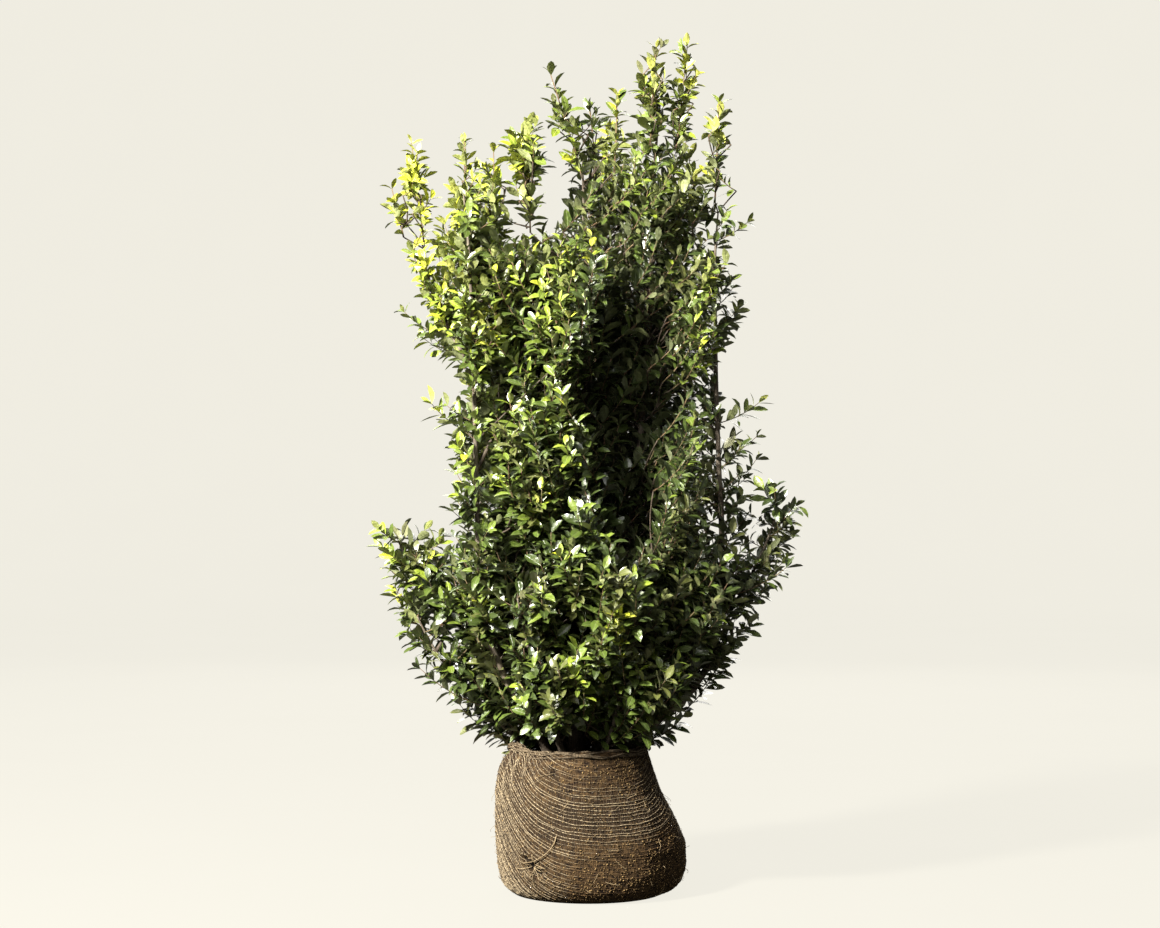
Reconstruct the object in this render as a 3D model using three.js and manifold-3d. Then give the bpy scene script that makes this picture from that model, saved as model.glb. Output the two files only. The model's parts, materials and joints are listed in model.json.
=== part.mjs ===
// Evergreen hedging shrub: a clump of stems on a root ball that is wrapped in jute cloth.
// Millimetres. +Z is up, +X to the right and +Y to the back. The origin is the middle of the
// flat underside that the ball stands on.
import * as THREE from "three";
import { mergeVertices } from "three/addons/utils/BufferGeometryUtils.js";
import Module from "manifold-3d";

const wasm = await Module();
wasm.setup();

// ---- Driving dimensions -------------------------------------------------------------------
const GAP = 1; // clearance kept between one solid and the next
const SOIL_LEVEL = 212; // height of the soil inside the cloth's rim
const SOIL_REACH = 0.88; // the soil's radius as a share of the rim's
const LIP_HEIGHT = 236; // top of the cloth's rolled edge at the front
const LIP_ROUNDING = 6; // how far below that top the cloth starts to roll over
const BACK_LIP_RISE = 12; // how much higher the edge stands at the back right
const BALL_SIDES = 24;
const LIMB_SIDES = 6;
const LIMB_RING_PITCH = 75; // length of limb between one ring of its mesh and the next
const FLARE_FADE = 22; // height over which a root flare dies away
const UNEVENNESS = 0.09; // depth of a foliage mass's lobes as a share of its width
const STEM_BASE = SOIL_LEVEL + 0.3; // the stems' flat cuts rest on the soil

// The ball's outline as [height, radius]: upright on the left, slumped on the right.
const UPRIGHT_SIDE = [
  [0, 119],
  [14, 137],
  [36, 145],
  [95, 149],
  [150, 149],
  [190, 145],
  [LIP_HEIGHT - LIP_ROUNDING, 126],
];
const SLUMPED_SIDE = [
  [0, 118],
  [14, 147],
  [50, 159],
  [90, 153],
  [130, 134],
  [170, 114],
  [LIP_HEIGHT - LIP_ROUNDING, 94],
];

// The crown's tiers, lowest first. Its masses stand in a ring: centre is the ring's middle and
// reach how far the foliage spreads from there in X and Y; lump is each mass's radius, low and
// high its heights, taper how much narrower its top is than its foot, and turn how many degrees
// the ring is turned against the one below, so that the masses bond like brickwork.
const TIERS = {
  skirt: { low: 252, high: 456, centre: [-2, 0], reach: [232, 214], lump: 98, taper: -0.35, turn: 0 },
  lower: { low: 352, high: 676, centre: [12, 0], reach: [256, 246], lump: 120, taper: 0, turn: 18 },
  middle: { low: 556, high: 880, centre: [4, 0], reach: [244, 234], lump: 116, taper: 0, turn: -12 },
  upper: { low: 784, high: 1084, centre: [4, 0], reach: [238, 222], lump: 108, taper: 0.1, turn: 18 },
};
// Where a tier's masses stand round its middle before it is turned, in degrees from +X to +Y.
const ROUND_THE_TIER = { back_right: 36, back: 108, left: 180, front: 252, front_right: 324 };
const TIER_STAGGER = 18; // how far a tier's masses stand above or below each other

// Masses that stand out of the tiers, from foot to tip, with half widths in X and Y.
const SIDE_MASSES = {
  crest_left: { foot: [-196, 0, 986], tip: [-196, 0, 1112], half: [88, 92], taper: 0.2 },
  crest_centre: { foot: [4, 20, 1034], tip: [18, 10, 1190], half: [60, 70], taper: 0.3 },
  crest_right: { foot: [108, 10, 990], tip: [118, 0, 1256], half: [92, 98], taper: 0.25 },
  bulge_left: { foot: [-236, -12, 862], tip: [-246, -12, 1022], half: [64, 72], taper: 0 },
  shoot_left: { foot: [-236, -20, 724], tip: [-250, -24, 806], half: [24, 34], taper: 0 },
  spread_left: { foot: [-266, -8, 424], tip: [-296, -6, 604], half: [60, 66], taper: 0.3 },
  spray_low_left: { foot: [-226, -34, 318], tip: [-256, -40, 404], half: [42, 46], taper: 0 },
  side_upper_right: { foot: [202, 6, 826], tip: [210, 4, 1086], half: [42, 56], taper: -0.2 },
  side_middle_right: { foot: [254, 12, 600], tip: [246, 6, 834], half: [50, 62], taper: 0.1 },
  spread_back: { foot: [70, 178, 440], tip: [96, 226, 640], half: [72, 60], taper: 0.2 },
  bulge_back: { foot: [-70, 170, 850], tip: [-84, 186, 1020], half: [70, 56], taper: 0 },
  spread_right: { foot: [238, 0, 410], tip: [322, -6, 640], half: [60, 72], taper: 0.15 },
};
const SPIRES = {
  spire_far_left: { foot: [-252, -14, 1016], tip: [-286, -16, 1222], half: [26, 30], taper: 0.3 },
  spire_left_offset: { foot: [-296, -6, 1052], tip: [-318, -8, 1142], half: [15, 20], taper: 0.3 },
  spire_left: { foot: [-196, -12, 1056], tip: [-199, -14, 1222], half: [24, 28], taper: 0.2 },
  spire_left_inner: { foot: [-148, 6, 1056], tip: [-154, 8, 1208], half: [22, 28], taper: 0.2 },
  tuft_left_centre: { foot: [-90, 0, 1052], tip: [-98, -4, 1248], half: [38, 40], taper: -0.7 },
  spire_centre: { foot: [-2, 0, 1130], tip: [-66, -4, 1334], half: [20, 24], taper: 0.2 },
  tuft_centre: { foot: [14, 4, 1150], tip: [2, 8, 1278], half: [14, 18], taper: 0 },
  spire_centre_right: { foot: [42, 0, 1140], tip: [48, -4, 1296], half: [18, 24], taper: 0.2 },
  spire_tall_left: { foot: [98, -16, 1170], tip: [110, -20, 1374], half: [24, 30], taper: 0.2 },
  spire_tall_right: { foot: [140, 6, 1160], tip: [162, 0, 1380], half: [26, 32], taper: 0.2 },
  spire_far_right: { foot: [200, -2, 1086], tip: [212, -6, 1286], half: [19, 24], taper: 0.2 },
  spire_back_left: { foot: [-150, 112, 1000], tip: [-168, 132, 1196], half: [40, 42], taper: 0.4 },
  spire_back: { foot: [24, 120, 1030], tip: [44, 140, 1262], half: [42, 44], taper: 0.5 },
  spire_back_right: { foot: [150, 104, 1020], tip: [172, 122, 1216], half: [38, 42], taper: 0.4 },
};

// Stems rise from the soil; boughs leave a stem and end in the mass they carry. radius is
// [at the foot, at the end], and flare the root flare added at the foot.
const STEMS = {
  main_stem: {
    line: [[-18, -4], [-24, -8, 290], [-16, 0, 470], [2, 14, 690], [0, 20, 880], [-4, 22, 1000]],
    radius: [10, 4.4],
    flare: 5,
  },
  stem_left: {
    line: [[-58, -22], [-92, -50, 280], [-146, -92, 380], [-168, -112, 500], [-176, -116, 680],
      [-180, -104, 860], [-188, -76, 1010]],
    radius: [6, 2.6],
    flare: 2.5,
  },
  stem_right: {
    line: [[44, -12], [80, -17, 252], [142, -21, 298], [196, -20, 366], [212, -15, 440],
      [216, -10, 540], [210, -5, 690], [206, 0, 840], [204, 0, 980]],
    radius: [7, 2.8],
    flare: 3,
  },
  stem_tall: {
    line: [[14, 24], [30, 26, 310], [58, 30, 500], [84, 26, 720], [100, 16, 940], [106, 8, 1130]],
    radius: [8, 3.4],
    flare: 3.5,
  },
  stem_front: { line: [[18, -50], [34, -74, 256], [50, -104, 318]], radius: [4, 3.4], flare: 1.5 },
  stem_front_left: {
    line: [[-36, -40], [-54, -64, 262], [-72, -90, 322]],
    radius: [5, 4.2],
    flare: 2,
  },
  stem_back_left: {
    line: [[-46, 30], [-72, 58, 276], [-92, 82, 330]],
    radius: [8, 6.5],
    flare: 3,
  },
  stem_back_right: {
    line: [[24, 52], [42, 74, 280], [60, 92, 334]],
    radius: [8, 6.5],
    flare: 3,
  },
  stem_low_left: {
    line: [[-84, -6], [-116, -14, 250], [-160, -26, 290], [-208, -34, 344]],
    radius: [4.5, 3],
    flare: 1.5,
  },
};
const BOUGHS = {
  bough_low_right: { line: [[223, -14, 452], [244, -12, 474], [268, -6, 520]], radius: [4.2, 2.6] },
  bough_low_left: { line: [[-158, -96, 420], [-206, -70, 448], [-254, -36, 490]], radius: [3.8, 2.4] },
  bough_upper_left: { line: [[-189, -104, 850], [-214, -70, 888], [-238, -26, 940]], radius: [3.2, 2.1] },
};

// ---- Solids -------------------------------------------------------------------------------
/** A geometry's closed surface as a solid for cutting. */
function solidOf(geometry) {
  const bare = geometry.clone();
  bare.deleteAttribute("normal");
  bare.deleteAttribute("uv");
  const merged = mergeVertices(bare, 1e-3);
  return new wasm.Manifold(
    new wasm.Mesh({
      numProp: 3,
      vertProperties: merged.attributes.position.array,
      triVerts: new Uint32Array(merged.index.array),
    }),
  );
}

/** A cut solid's surface as a geometry again. */
function geometryOf(solid) {
  const mesh = solid.getMesh();
  return new THREE.BufferGeometry()
    .setAttribute("position", new THREE.BufferAttribute(mesh.vertProperties, 3))
    .setIndex(new THREE.BufferAttribute(mesh.triVerts, 1));
}

/** The largest of the pieces that a solid falls into. */
function largestPiece(solid) {
  return solid.decompose().reduce((best, piece) => (piece.volume() > best.volume() ? piece : best));
}

/** Moves every vertex of a geometry: place takes x, y, z and gives the new point as an array. */
function reshape(geometry, place) {
  const position = geometry.attributes.position;
  for (let i = 0; i < position.count; i++)
    position.setXYZ(i, ...place(position.getX(i), position.getY(i), position.getZ(i)));
  return geometry;
}

/** True where two solids' boxes meet, so that one may need cutting by the other. */
function boxesMeet(a, b) {
  const first = a.boundingBox();
  const second = b.boundingBox();
  return [0, 1, 2].every((k) => first.min[k] < second.max[k] && second.min[k] < first.max[k]);
}

// ---- Root ball ----------------------------------------------------------------------------
/** A [height, radius] outline read at one height, on a smooth curve through its points. */
function outlineRadius(outline, height) {
  const curve = new THREE.SplineCurve(outline.map(([z, r]) => new THREE.Vector2(z, r)));
  let low = 0;
  let high = 1;
  for (let i = 0; i < 24; i++) {
    const middle = (low + high) / 2;
    if (curve.getPoint(middle).x < height) low = middle;
    else high = middle;
  }
  return curve.getPoint(low).y;
}

/** The wrapped ball: a turned profile, pushed out into its slumped side and uneven all round. */
function ballGeometry() {
  const heights = [0, 7, 18, 42, 80, 125, 165, 200, LIP_HEIGHT - LIP_ROUNDING];
  const wall = heights.map((z) => new THREE.Vector2(outlineRadius(UPRIGHT_SIDE, z), z));
  const rim = wall.at(-1).x;
  const profile = [
    new THREE.Vector2(0, 0),
    ...wall,
    new THREE.Vector2(rim * 0.965, LIP_HEIGHT),
    new THREE.Vector2(rim * 0.925, LIP_HEIGHT - 4),
    new THREE.Vector2(rim * SOIL_REACH, SOIL_LEVEL),
    new THREE.Vector2(0, SOIL_LEVEL),
  ];
  const turned = new THREE.LatheGeometry(profile, BALL_SIDES);
  return reshape(turned, (x, y, z) => {
    // The lathe turns about Y, so its Y is the height, and its Z the depth turned round.
    const round = Math.atan2(-z, x);
    const towardsSlump = THREE.MathUtils.smoothstep(Math.cos(round), -0.55, 1);
    const height = Math.min(y, LIP_HEIGHT - LIP_ROUNDING);
    const slump = outlineRadius(SLUMPED_SIDE, height) / outlineRadius(UPRIGHT_SIDE, height);
    const uneven = 1 + 0.012 * Math.sin(3 * round + height / 45) * Math.sin((Math.PI * height) / LIP_HEIGHT);
    const widen = THREE.MathUtils.lerp(1, slump, towardsSlump) * uneven;
    const isLip = y > SOIL_LEVEL && Math.hypot(x, z) > rim * SOIL_REACH + 1;
    const backRise = BACK_LIP_RISE * Math.max(0, Math.cos(round - Math.PI / 3)) ** 2;
    return [x * widen, -z * widen, isLip ? y + backRise : y];
  });
}

// ---- Limbs --------------------------------------------------------------------------------
/** The limb's line. A stem's first point has no height: it starts straight up, out of the soil. */
function limbCurve(line) {
  const points = line.map(([x, y, z]) => new THREE.Vector3(x, y, z ?? STEM_BASE));
  if (line[0].length === 2) {
    const [x, y] = line[0];
    points.splice(1, 0, new THREE.Vector3(x, y, STEM_BASE + 8));
  }
  return new THREE.CatmullRomCurve3(points, false, "centripetal");
}

/** A tapering round limb along its line, with a root flare at the foot. grow makes it fatter
 * and longer, as the cutter that clears room for it. */
function limbGeometry({ line, radius, flare = 0 }, grow = 0) {
  const curve = limbCurve(line);
  const length = curve.getLength();
  const steps = Math.max(4, Math.round(length / LIMB_RING_PITCH));
  const frames = curve.computeFrenetFrames(steps, false);
  const straight = new THREE.CylinderGeometry(1, 1, 1, LIMB_SIDES, steps);
  return reshape(straight, (x, y, z) => {
    const step = Math.round((y + 0.5) * steps);
    const along = step / steps;
    const size =
      THREE.MathUtils.lerp(radius[0], radius[1], along) + flare * Math.exp((-along * length) / FLARE_FADE) + grow;
    const end = step === 0 ? -grow : step === steps ? grow : 0;
    const point = curve
      .getPointAt(along)
      .addScaledVector(frames.tangents[step], end)
      .addScaledVector(frames.normals[step], x * size)
      .addScaledVector(frames.binormals[step], -z * size);
    return point.toArray();
  });
}

// ---- Foliage ------------------------------------------------------------------------------
/** One uneven mass of leaves from foot to tip. A ball's vertices are spread to the half widths,
 * narrowed by the taper, leaned along the line and swollen into lobes that the seed places. */
function massGeometry({ foot, tip, half, taper, seed, around, along }) {
  return reshape(new THREE.SphereGeometry(1, around, along), (x, y, z) => {
    const rise = (1 + y) / 2;
    const round = Math.atan2(-z, x);
    const lobes =
      Math.sin(3 * round + seed + 5 * rise) * 0.55 +
      Math.sin(5 * round - 2 * seed + 9 * rise) * 0.3 +
      Math.sin(2 * round + 3 * seed - 6 * rise) * 0.4;
    const width = (1 + UNEVENNESS * lobes) * (1 + taper * (0.45 - rise));
    return [
      THREE.MathUtils.lerp(foot[0], tip[0], rise) + x * half[0] * width,
      THREE.MathUtils.lerp(foot[1], tip[1], rise) - z * half[1] * width,
      THREE.MathUtils.lerp(foot[2], tip[2], rise),
    ];
  });
}

/** The masses of one tier, each leaning its outer face on the tier's reach on its own side. */
function tierMasses([name, { low, high, centre, reach, lump, taper, turn }], tierIndex) {
  return Object.entries(ROUND_THE_TIER).map(([side, degrees], place) => {
    const angle = THREE.MathUtils.degToRad(degrees + turn);
    const middle = [
      centre[0] + (reach[0] - lump) * Math.cos(angle),
      centre[1] + (reach[1] - lump) * Math.sin(angle),
    ];
    const shift = tierIndex === 0 ? 0 : TIER_STAGGER * Math.sin(2.3 * place + 1.7 * tierIndex);
    return {
      name: `${name}_${side}`,
      foot: [...middle, low + shift],
      tip: [...middle, high + shift],
      half: [lump, lump],
      taper,
      seed: 1 + place * 1.9 + tierIndex * 2.7,
      around: 10,
      along: 6,
    };
  });
}

/** Masses listed by name, with the fineness of their surface and a seed for each. */
function listedMasses(table, firstSeed, around) {
  return Object.entries(table).map(([name, spec], i) => ({
    name,
    ...spec,
    seed: firstSeed + 1.7 * i,
    around,
    along: 6,
  }));
}

const masses = [
  ...Object.entries(TIERS).flatMap(tierMasses),
  ...listedMasses(SIDE_MASSES, 20, 9),
  ...listedMasses(SPIRES, 40, 7),
].map((spec) => {
  const middle = new THREE.Vector3(...spec.foot).lerp(new THREE.Vector3(...spec.tip), 0.5);
  const spread = new THREE.Vector3(...spec.half, (spec.tip[2] - spec.foot[2]) / 2);
  return { ...spec, middle, spread, solid: solidOf(massGeometry(spec)) };
});

/** Parts two masses where they meet, on a plane between their middles that leaves the gap. */
function part(first, second) {
  const across = second.middle.clone().sub(first.middle);
  const distance = across.length();
  across.normalize();
  const firstReach = first.spread.clone().multiply(across).length();
  const secondReach = second.spread.clone().multiply(across).length();
  const share = firstReach / (firstReach + secondReach);
  const plane = first.middle.dot(across) + distance * share;
  first.solid = first.solid.trimByPlane(across.clone().negate().toArray(), GAP / 2 - plane);
  second.solid = second.solid.trimByPlane(across.toArray(), plane + GAP / 2);
}

// ---- Materials ----------------------------------------------------------------------------
const jute = new THREE.MeshStandardMaterial({ color: 0x6b5330, roughness: 0.95, metalness: 0 });
const bark = new THREE.MeshStandardMaterial({ color: 0x5a4a3a, roughness: 0.85, metalness: 0 });
const leaf = new THREE.MeshStandardMaterial({ color: 0x2f4a16, roughness: 0.45, metalness: 0 });
const youngLeaf = new THREE.MeshStandardMaterial({ color: 0x7a9a1e, roughness: 0.5, metalness: 0 });

// ---- Assembly -----------------------------------------------------------------------------
const shrub = new THREE.Group();

/** Adds one named mesh to the shrub. */
function add(name, geometry, material) {
  const mesh = new THREE.Mesh(geometry, material);
  mesh.name = name;
  shrub.add(mesh);
}

/** The solid with its meeting neighbours cut out of it. */
function cutRound(solid, neighbours) {
  const touching = neighbours.filter((other) => boxesMeet(solid, other));
  return largestPiece(touching.reduce((left, other) => left.subtract(other), solid));
}

const ball = ballGeometry();
add("root_ball", ball, jute);

const limbRooms = [];
for (const [name, spec] of Object.entries({ ...STEMS, ...BOUGHS })) {
  add(name, geometryOf(cutRound(solidOf(limbGeometry(spec)), limbRooms)), bark);
  limbRooms.push(solidOf(limbGeometry(spec, GAP)));
}

masses.forEach((first, i) => {
  for (const second of masses.slice(i + 1))
    if (boxesMeet(first.solid, second.solid) && !first.solid.intersect(second.solid).isEmpty())
      part(first, second);
});
for (const { name, solid } of masses)
  add(name, geometryOf(cutRound(solid, [solidOf(ball), ...limbRooms])), name in SPIRES ? youngLeaf : leaf);

export default shrub;
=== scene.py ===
"""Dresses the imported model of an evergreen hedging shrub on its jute-wrapped root ball."""
import json
import math

import bpy
import numpy as np
from mathutils.bvhtree import BVHTree
from mathutils.kdtree import KDTree
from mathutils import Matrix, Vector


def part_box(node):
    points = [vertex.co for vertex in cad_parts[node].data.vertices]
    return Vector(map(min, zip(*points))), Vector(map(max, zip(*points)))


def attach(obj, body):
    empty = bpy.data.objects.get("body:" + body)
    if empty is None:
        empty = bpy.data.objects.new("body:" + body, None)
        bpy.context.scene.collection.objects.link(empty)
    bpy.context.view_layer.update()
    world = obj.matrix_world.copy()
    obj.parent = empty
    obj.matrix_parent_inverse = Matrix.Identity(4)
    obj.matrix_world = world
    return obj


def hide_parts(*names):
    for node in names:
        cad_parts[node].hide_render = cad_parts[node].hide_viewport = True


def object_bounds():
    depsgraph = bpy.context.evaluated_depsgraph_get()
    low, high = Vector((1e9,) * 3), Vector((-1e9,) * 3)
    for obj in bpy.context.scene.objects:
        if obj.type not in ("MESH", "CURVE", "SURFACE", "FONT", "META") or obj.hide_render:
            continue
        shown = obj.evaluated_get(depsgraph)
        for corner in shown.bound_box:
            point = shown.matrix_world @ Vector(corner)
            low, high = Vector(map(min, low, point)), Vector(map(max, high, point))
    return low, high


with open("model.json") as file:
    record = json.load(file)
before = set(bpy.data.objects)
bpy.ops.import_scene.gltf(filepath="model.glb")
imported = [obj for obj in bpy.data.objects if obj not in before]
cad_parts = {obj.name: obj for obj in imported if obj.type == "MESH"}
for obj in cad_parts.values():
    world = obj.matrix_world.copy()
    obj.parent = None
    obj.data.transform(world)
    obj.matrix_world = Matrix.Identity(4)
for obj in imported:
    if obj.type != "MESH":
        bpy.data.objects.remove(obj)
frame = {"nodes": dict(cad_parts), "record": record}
cad_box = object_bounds()

# ---- Form of the root ball ----
# A plug of loam lifted with its roots, that stands on its flattened underside, upright at the
# left and slumped out to the right. Its outside is read off the CAD solid once, as a table of
# radii by height and turn, on which the cloth and all its threads are laid.
ROUND_STEPS, WALL_STEPS = 120, 36
WALL_WAVES, LIP_WAVES = 9, 6  # the smoothing keeps this many waves round the ball
WALL_TOP = 0.228
FAR_OUT = 0.4  # where a ray cast in on the ball starts


def turns(count):
    """Even angles round a full turn."""
    return np.arange(count) * math.tau / count


def solid_mesh(name):
    """A CAD node's corners and triangles as arrays."""
    mesh = frame["nodes"][name].data
    corners, faces = [corner.co for corner in mesh.vertices], [face.vertices for face in mesh.polygons]
    return np.array(corners), np.array(faces)


def solid_tree(name):
    """A CAD node's surface as a search tree."""
    corners, faces = solid_mesh(name)
    return BVHTree.FromPolygons(corners.tolist(), faces.tolist())


def smooth_round(table, waves):
    """A table read round the ball with all but its longest waves taken out."""
    spectrum = np.fft.rfft(table)
    spectrum[..., waves:] = 0
    return np.fft.irfft(spectrum, ROUND_STEPS)


ball_tree = solid_tree("root_ball")
round_angles = turns(ROUND_STEPS)
wall_heights = np.linspace(0.001, WALL_TOP, WALL_STEPS)


def cast_inwards(height, angle):
    """The radius of the ball's outside, by a ray cast in from well outside it."""
    way = (-math.cos(angle), -math.sin(angle), 0)
    hit = ball_tree.ray_cast((-FAR_OUT * way[0], -FAR_OUT * way[1], height), way)[0]
    return math.hypot(hit.x, hit.y)


def cast_down(radius, angle):
    """The height of the ball's top edge, by a ray cast down on it."""
    above = (radius * math.cos(angle), radius * math.sin(angle), FAR_OUT)
    return ball_tree.ray_cast(above, (0, 0, -1))[0].z


wall_table = [[cast_inwards(height, angle) for angle in round_angles] for height in wall_heights]
wall_table = smooth_round(wall_table, WALL_WAVES)
lip_table = [cast_down(0.95 * radius, angle) for radius, angle in zip(wall_table[-1], round_angles)]
lip_table = smooth_round(lip_table, LIP_WAVES)


def ball_radius(angle, height):
    """The ball's radius at an angle and height, between the four nearest entries of the table."""
    column = (angle % math.tau) * ROUND_STEPS / math.tau
    row = np.interp(height, wall_heights, np.arange(WALL_STEPS))
    left, low = column.astype(int) % ROUND_STEPS, np.minimum(row.astype(int), WALL_STEPS - 2)
    right, across, up = (left + 1) % ROUND_STEPS, column % 1, row - low
    bottom = wall_table[low, left] * (1 - across) + wall_table[low, right] * across
    top = wall_table[low + 1, left] * (1 - across) + wall_table[low + 1, right] * across
    return bottom * (1 - up) + top * up


def from_round(radius, angle, height):
    """Points by distance from the upright axis, angle and height."""
    return np.stack(np.broadcast_arrays(radius * np.cos(angle), radius * np.sin(angle), height), -1)


# ---- Jute cloth ----
# A square of coarse open jute drawn up round the ball, rolled over at the top and bunched to a
# peak at the left, where it was knotted. A root has torn one hole low on the front left.
ROLL = 0.0046  # radius of the rolled edge
BALL_REACH = 0.147  # the ball's usual radius, which turns an angle into a distance round it
PEAK_PLACE, PEAK_RISE, PEAK_WIDTH = 200, 0.007, 0.24
HOLE_PLACE, HOLE_HEIGHT, HOLE_SIZE = 232, 0.058, 0.009
TEAR_DEPTH = 0.009
# Tears: place round the ball in degrees, height, half width and half height.
TEARS = (
    (232, 0.058, 0.013, 0.0105), (237, 0.049, 0.010, 0.007), (227.5, 0.069, 0.006, 0.0065),
    (246, 0.205, 0.0032, 0.007),
)


def away(angle, degrees):
    """How far an angle is from a place round the ball, from minus half a turn to half a turn."""
    return (angle - math.radians(degrees) + np.pi) % math.tau - np.pi


def hump(offset, width):
    """A smooth hump: 1 in the middle, and 0.37 at its width to either side."""
    return np.exp(-((offset / width) ** 2))


def ripple(angle, waves, seed, height=0.0):
    """Uneven ripples from -1 to 1: a sum of sines over turn and height, of random slope and phase."""
    own = np.random.default_rng(seed)
    total = 0
    for wave in waves:
        phase, slope = own.uniform(0, math.tau), own.uniform(-60, 60)
        total = total + np.sin(wave * angle + slope * height + phase) / len(waves)
    return total


def torn_depth(angle, height):
    """How deep the cloth is torn, from 0 to 1: a pit at each tear."""
    depth = 0
    for place, middle, half_width, half_height in TEARS:
        across = away(angle, place) * BALL_REACH / half_width
        depth = depth + np.exp(-((across ** 2 + ((height - middle) / half_height) ** 2) ** 2))
    return np.minimum(depth, 1)


def earth_and_shade_cover(angle, height):
    """How much earth is caked on the cloth, from 0 to 1: most low on the front and at the right. At the top
    front the same value is painted shade, where the foliage shades the ball.
    """
    low = np.clip((0.128 - height) / 0.07, 0, 1) * hump(away(angle, 292), 0.95)
    right = 0.6 * hump(away(angle, 335), 0.5) * np.clip((0.17 - height) / 0.1, 0, 1)
    # Painted shade: the top term darkens the cloth at the top front, under the overhanging foliage.
    top = 0.85 * hump(away(angle, 286), 0.9) * np.clip((height - 0.12) / 0.09, 0, 1)
    return np.clip(low + right + top, 0, 1)


def peak(angle):
    """How far the bunched peak lifts the cloth's edge."""
    return PEAK_RISE * hump(away(angle, PEAK_PLACE), PEAK_WIDTH)


def on_cloth(angle, rise, lift):
    """A point on the cloth, by how far it has come up: on the wall at first, then round the
    rolled edge, a half circle, and down inside. lift is how far it stands off the cloth."""
    lip = np.interp(angle, round_angles, lip_table, period=math.tau)
    lip = lip + peak(angle) + 0.0022 * ripple(angle, (3, 7, 11, 16), 5)
    wall = np.minimum(rise, lip - ROLL)
    over = np.clip((rise - wall) / ROLL, 0, np.pi)
    down = np.maximum(rise - wall - np.pi * ROLL, 0)
    gathers = np.clip((wall - 0.15) / 0.08, 0, 1) * hump(away(angle, PEAK_PLACE), 0.6)
    folds = 0.003 * gathers * np.sin(34 * angle + 30 * rise)
    slack = 0.0016 * ripple(angle, (2, 5, 9, 14), 8, rise) * np.clip(wall / 0.03, 0, 1)
    crease = -0.0045 * hump(rise - lip + 0.0125, 0.0038) * (0.6 + 0.4 * ripple(angle, (2, 3, 5), 31))
    torn = -TEAR_DEPTH * torn_depth(angle, wall)
    radius = ball_radius(angle, wall) + folds + slack + crease + torn - ROLL + (ROLL + lift) * np.cos(over)
    return from_round(radius, angle, wall + (ROLL + lift) * np.sin(over) - down)


def grid_faces(rows, columns):
    """The quads of a grid of rings, wound so that one that climbs faces out."""
    down, across = np.meshgrid(np.arange(rows - 1), np.arange(columns), indexing="ij")
    here, beside = down * columns + across, down * columns + (across + 1) % columns
    return np.stack([here, beside, beside + columns, here + columns], -1).reshape(-1, 4)


def pole_faces(ring, pole, flip):
    """The triangles that close a ring of points on one pole point."""
    ahead = np.roll(ring, -1)
    middle = np.full_like(ring, pole)
    return np.stack([ahead, ring, middle] if flip else [ring, ahead, middle], -1)


def new_piece(name, points, faces, slot, material, places=None, values=None):
    """A mesh that rides on the plant. faces are arrays of three or four corners to a face;
    places is the UV pair and values are named numbers for each point."""
    mesh = bpy.data.meshes.new(name)
    corners = np.concatenate([part.ravel() for part in faces]).astype(np.int32)
    sizes = np.concatenate([np.full(len(part), part.shape[1]) for part in faces])
    mesh.vertices.add(len(points))
    mesh.vertices.foreach_set("co", np.asarray(points, np.float32).ravel())
    mesh.loops.add(len(corners))
    mesh.loops.foreach_set("vertex_index", corners)
    mesh.polygons.add(len(sizes))
    mesh.polygons.foreach_set("loop_start", np.concatenate([[0], np.cumsum(sizes)[:-1]]).astype(np.int32))
    if places is not None:
        layer = mesh.uv_layers.new(name="UVMap")
        layer.data.foreach_set("uv", np.asarray(places, np.float32)[corners].ravel())
    for key, numbers in (values or {}).items():
        attribute_layer = mesh.attributes.new(key, "FLOAT", "POINT")
        attribute_layer.data.foreach_set("value", np.asarray(numbers, np.float32))
    mesh.update(calc_edges=True)
    mesh.polygons.foreach_set("use_smooth", np.ones(len(sizes), bool))
    mesh.materials.append(material)
    piece = bpy.data.objects.new(name, mesh)
    bpy.context.scene.collection.objects.link(piece)
    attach(piece, "root")
    return piece


def feed(tree, socket, value):
    """Links a socket to the one that feeds it, or sets its plain value."""
    if isinstance(value, bpy.types.NodeSocket):
        tree.links.new(value, socket)
    else:
        socket.default_value = (*value, 1) if socket.type == "RGBA" else value


def add_node(tree, kind, inputs=None, **settings):
    """The outputs of a shader node with these settings, and what feeds each of its inputs."""
    node = tree.nodes.new("ShaderNode" + kind)
    for key, value in settings.items():
        setattr(node, key, value)
    for key, value in (inputs or {}).items():
        feed(tree, node.inputs[key], value)
    return node.outputs


def new_effect(name, inputs, outputs):
    """A shader group with named inputs and outputs of these kinds, and their sockets inside it."""
    tree = bpy.data.node_groups.new(name, "ShaderNodeTree")
    for way, sockets in (("INPUT", inputs), ("OUTPUT", outputs)):
        for key, kind in sockets.items():
            tree.interface.new_socket(name=key, in_out=way, socket_type="NodeSocket" + kind)
    return tree, tree.nodes.new("NodeGroupInput").outputs, tree.nodes.new("NodeGroupOutput").inputs


def mix(tree, share, first, second):
    """The socket of a colour between two others."""
    return add_node(tree, "Mix", {0: share, 6: first, 7: second}, data_type="RGBA")[2]


def ramp(tree, value, low, high, low_out=0.0, high_out=1.0):
    """The socket of a value carried from one range to another, held at its ends."""
    inputs = {"Value": value, "From Min": low, "From Max": high, "To Min": low_out, "To Max": high_out}
    return add_node(tree, "MapRange", inputs)["Result"]


def maths(tree, operation, first, second=0.0):
    """The socket of a sum, product or other operation on two values."""
    return add_node(tree, "Math", {0: first, 1: second}, operation=operation)[0]


def attribute(tree, name):
    """The socket of a number that a piece holds for each of its points."""
    return add_node(tree, "Attribute", attribute_name=name)["Fac"]


def coordinate(tree, kind="Object"):
    """The socket of a place on the piece."""
    return add_node(tree, "TexCoord")[kind]


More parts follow.
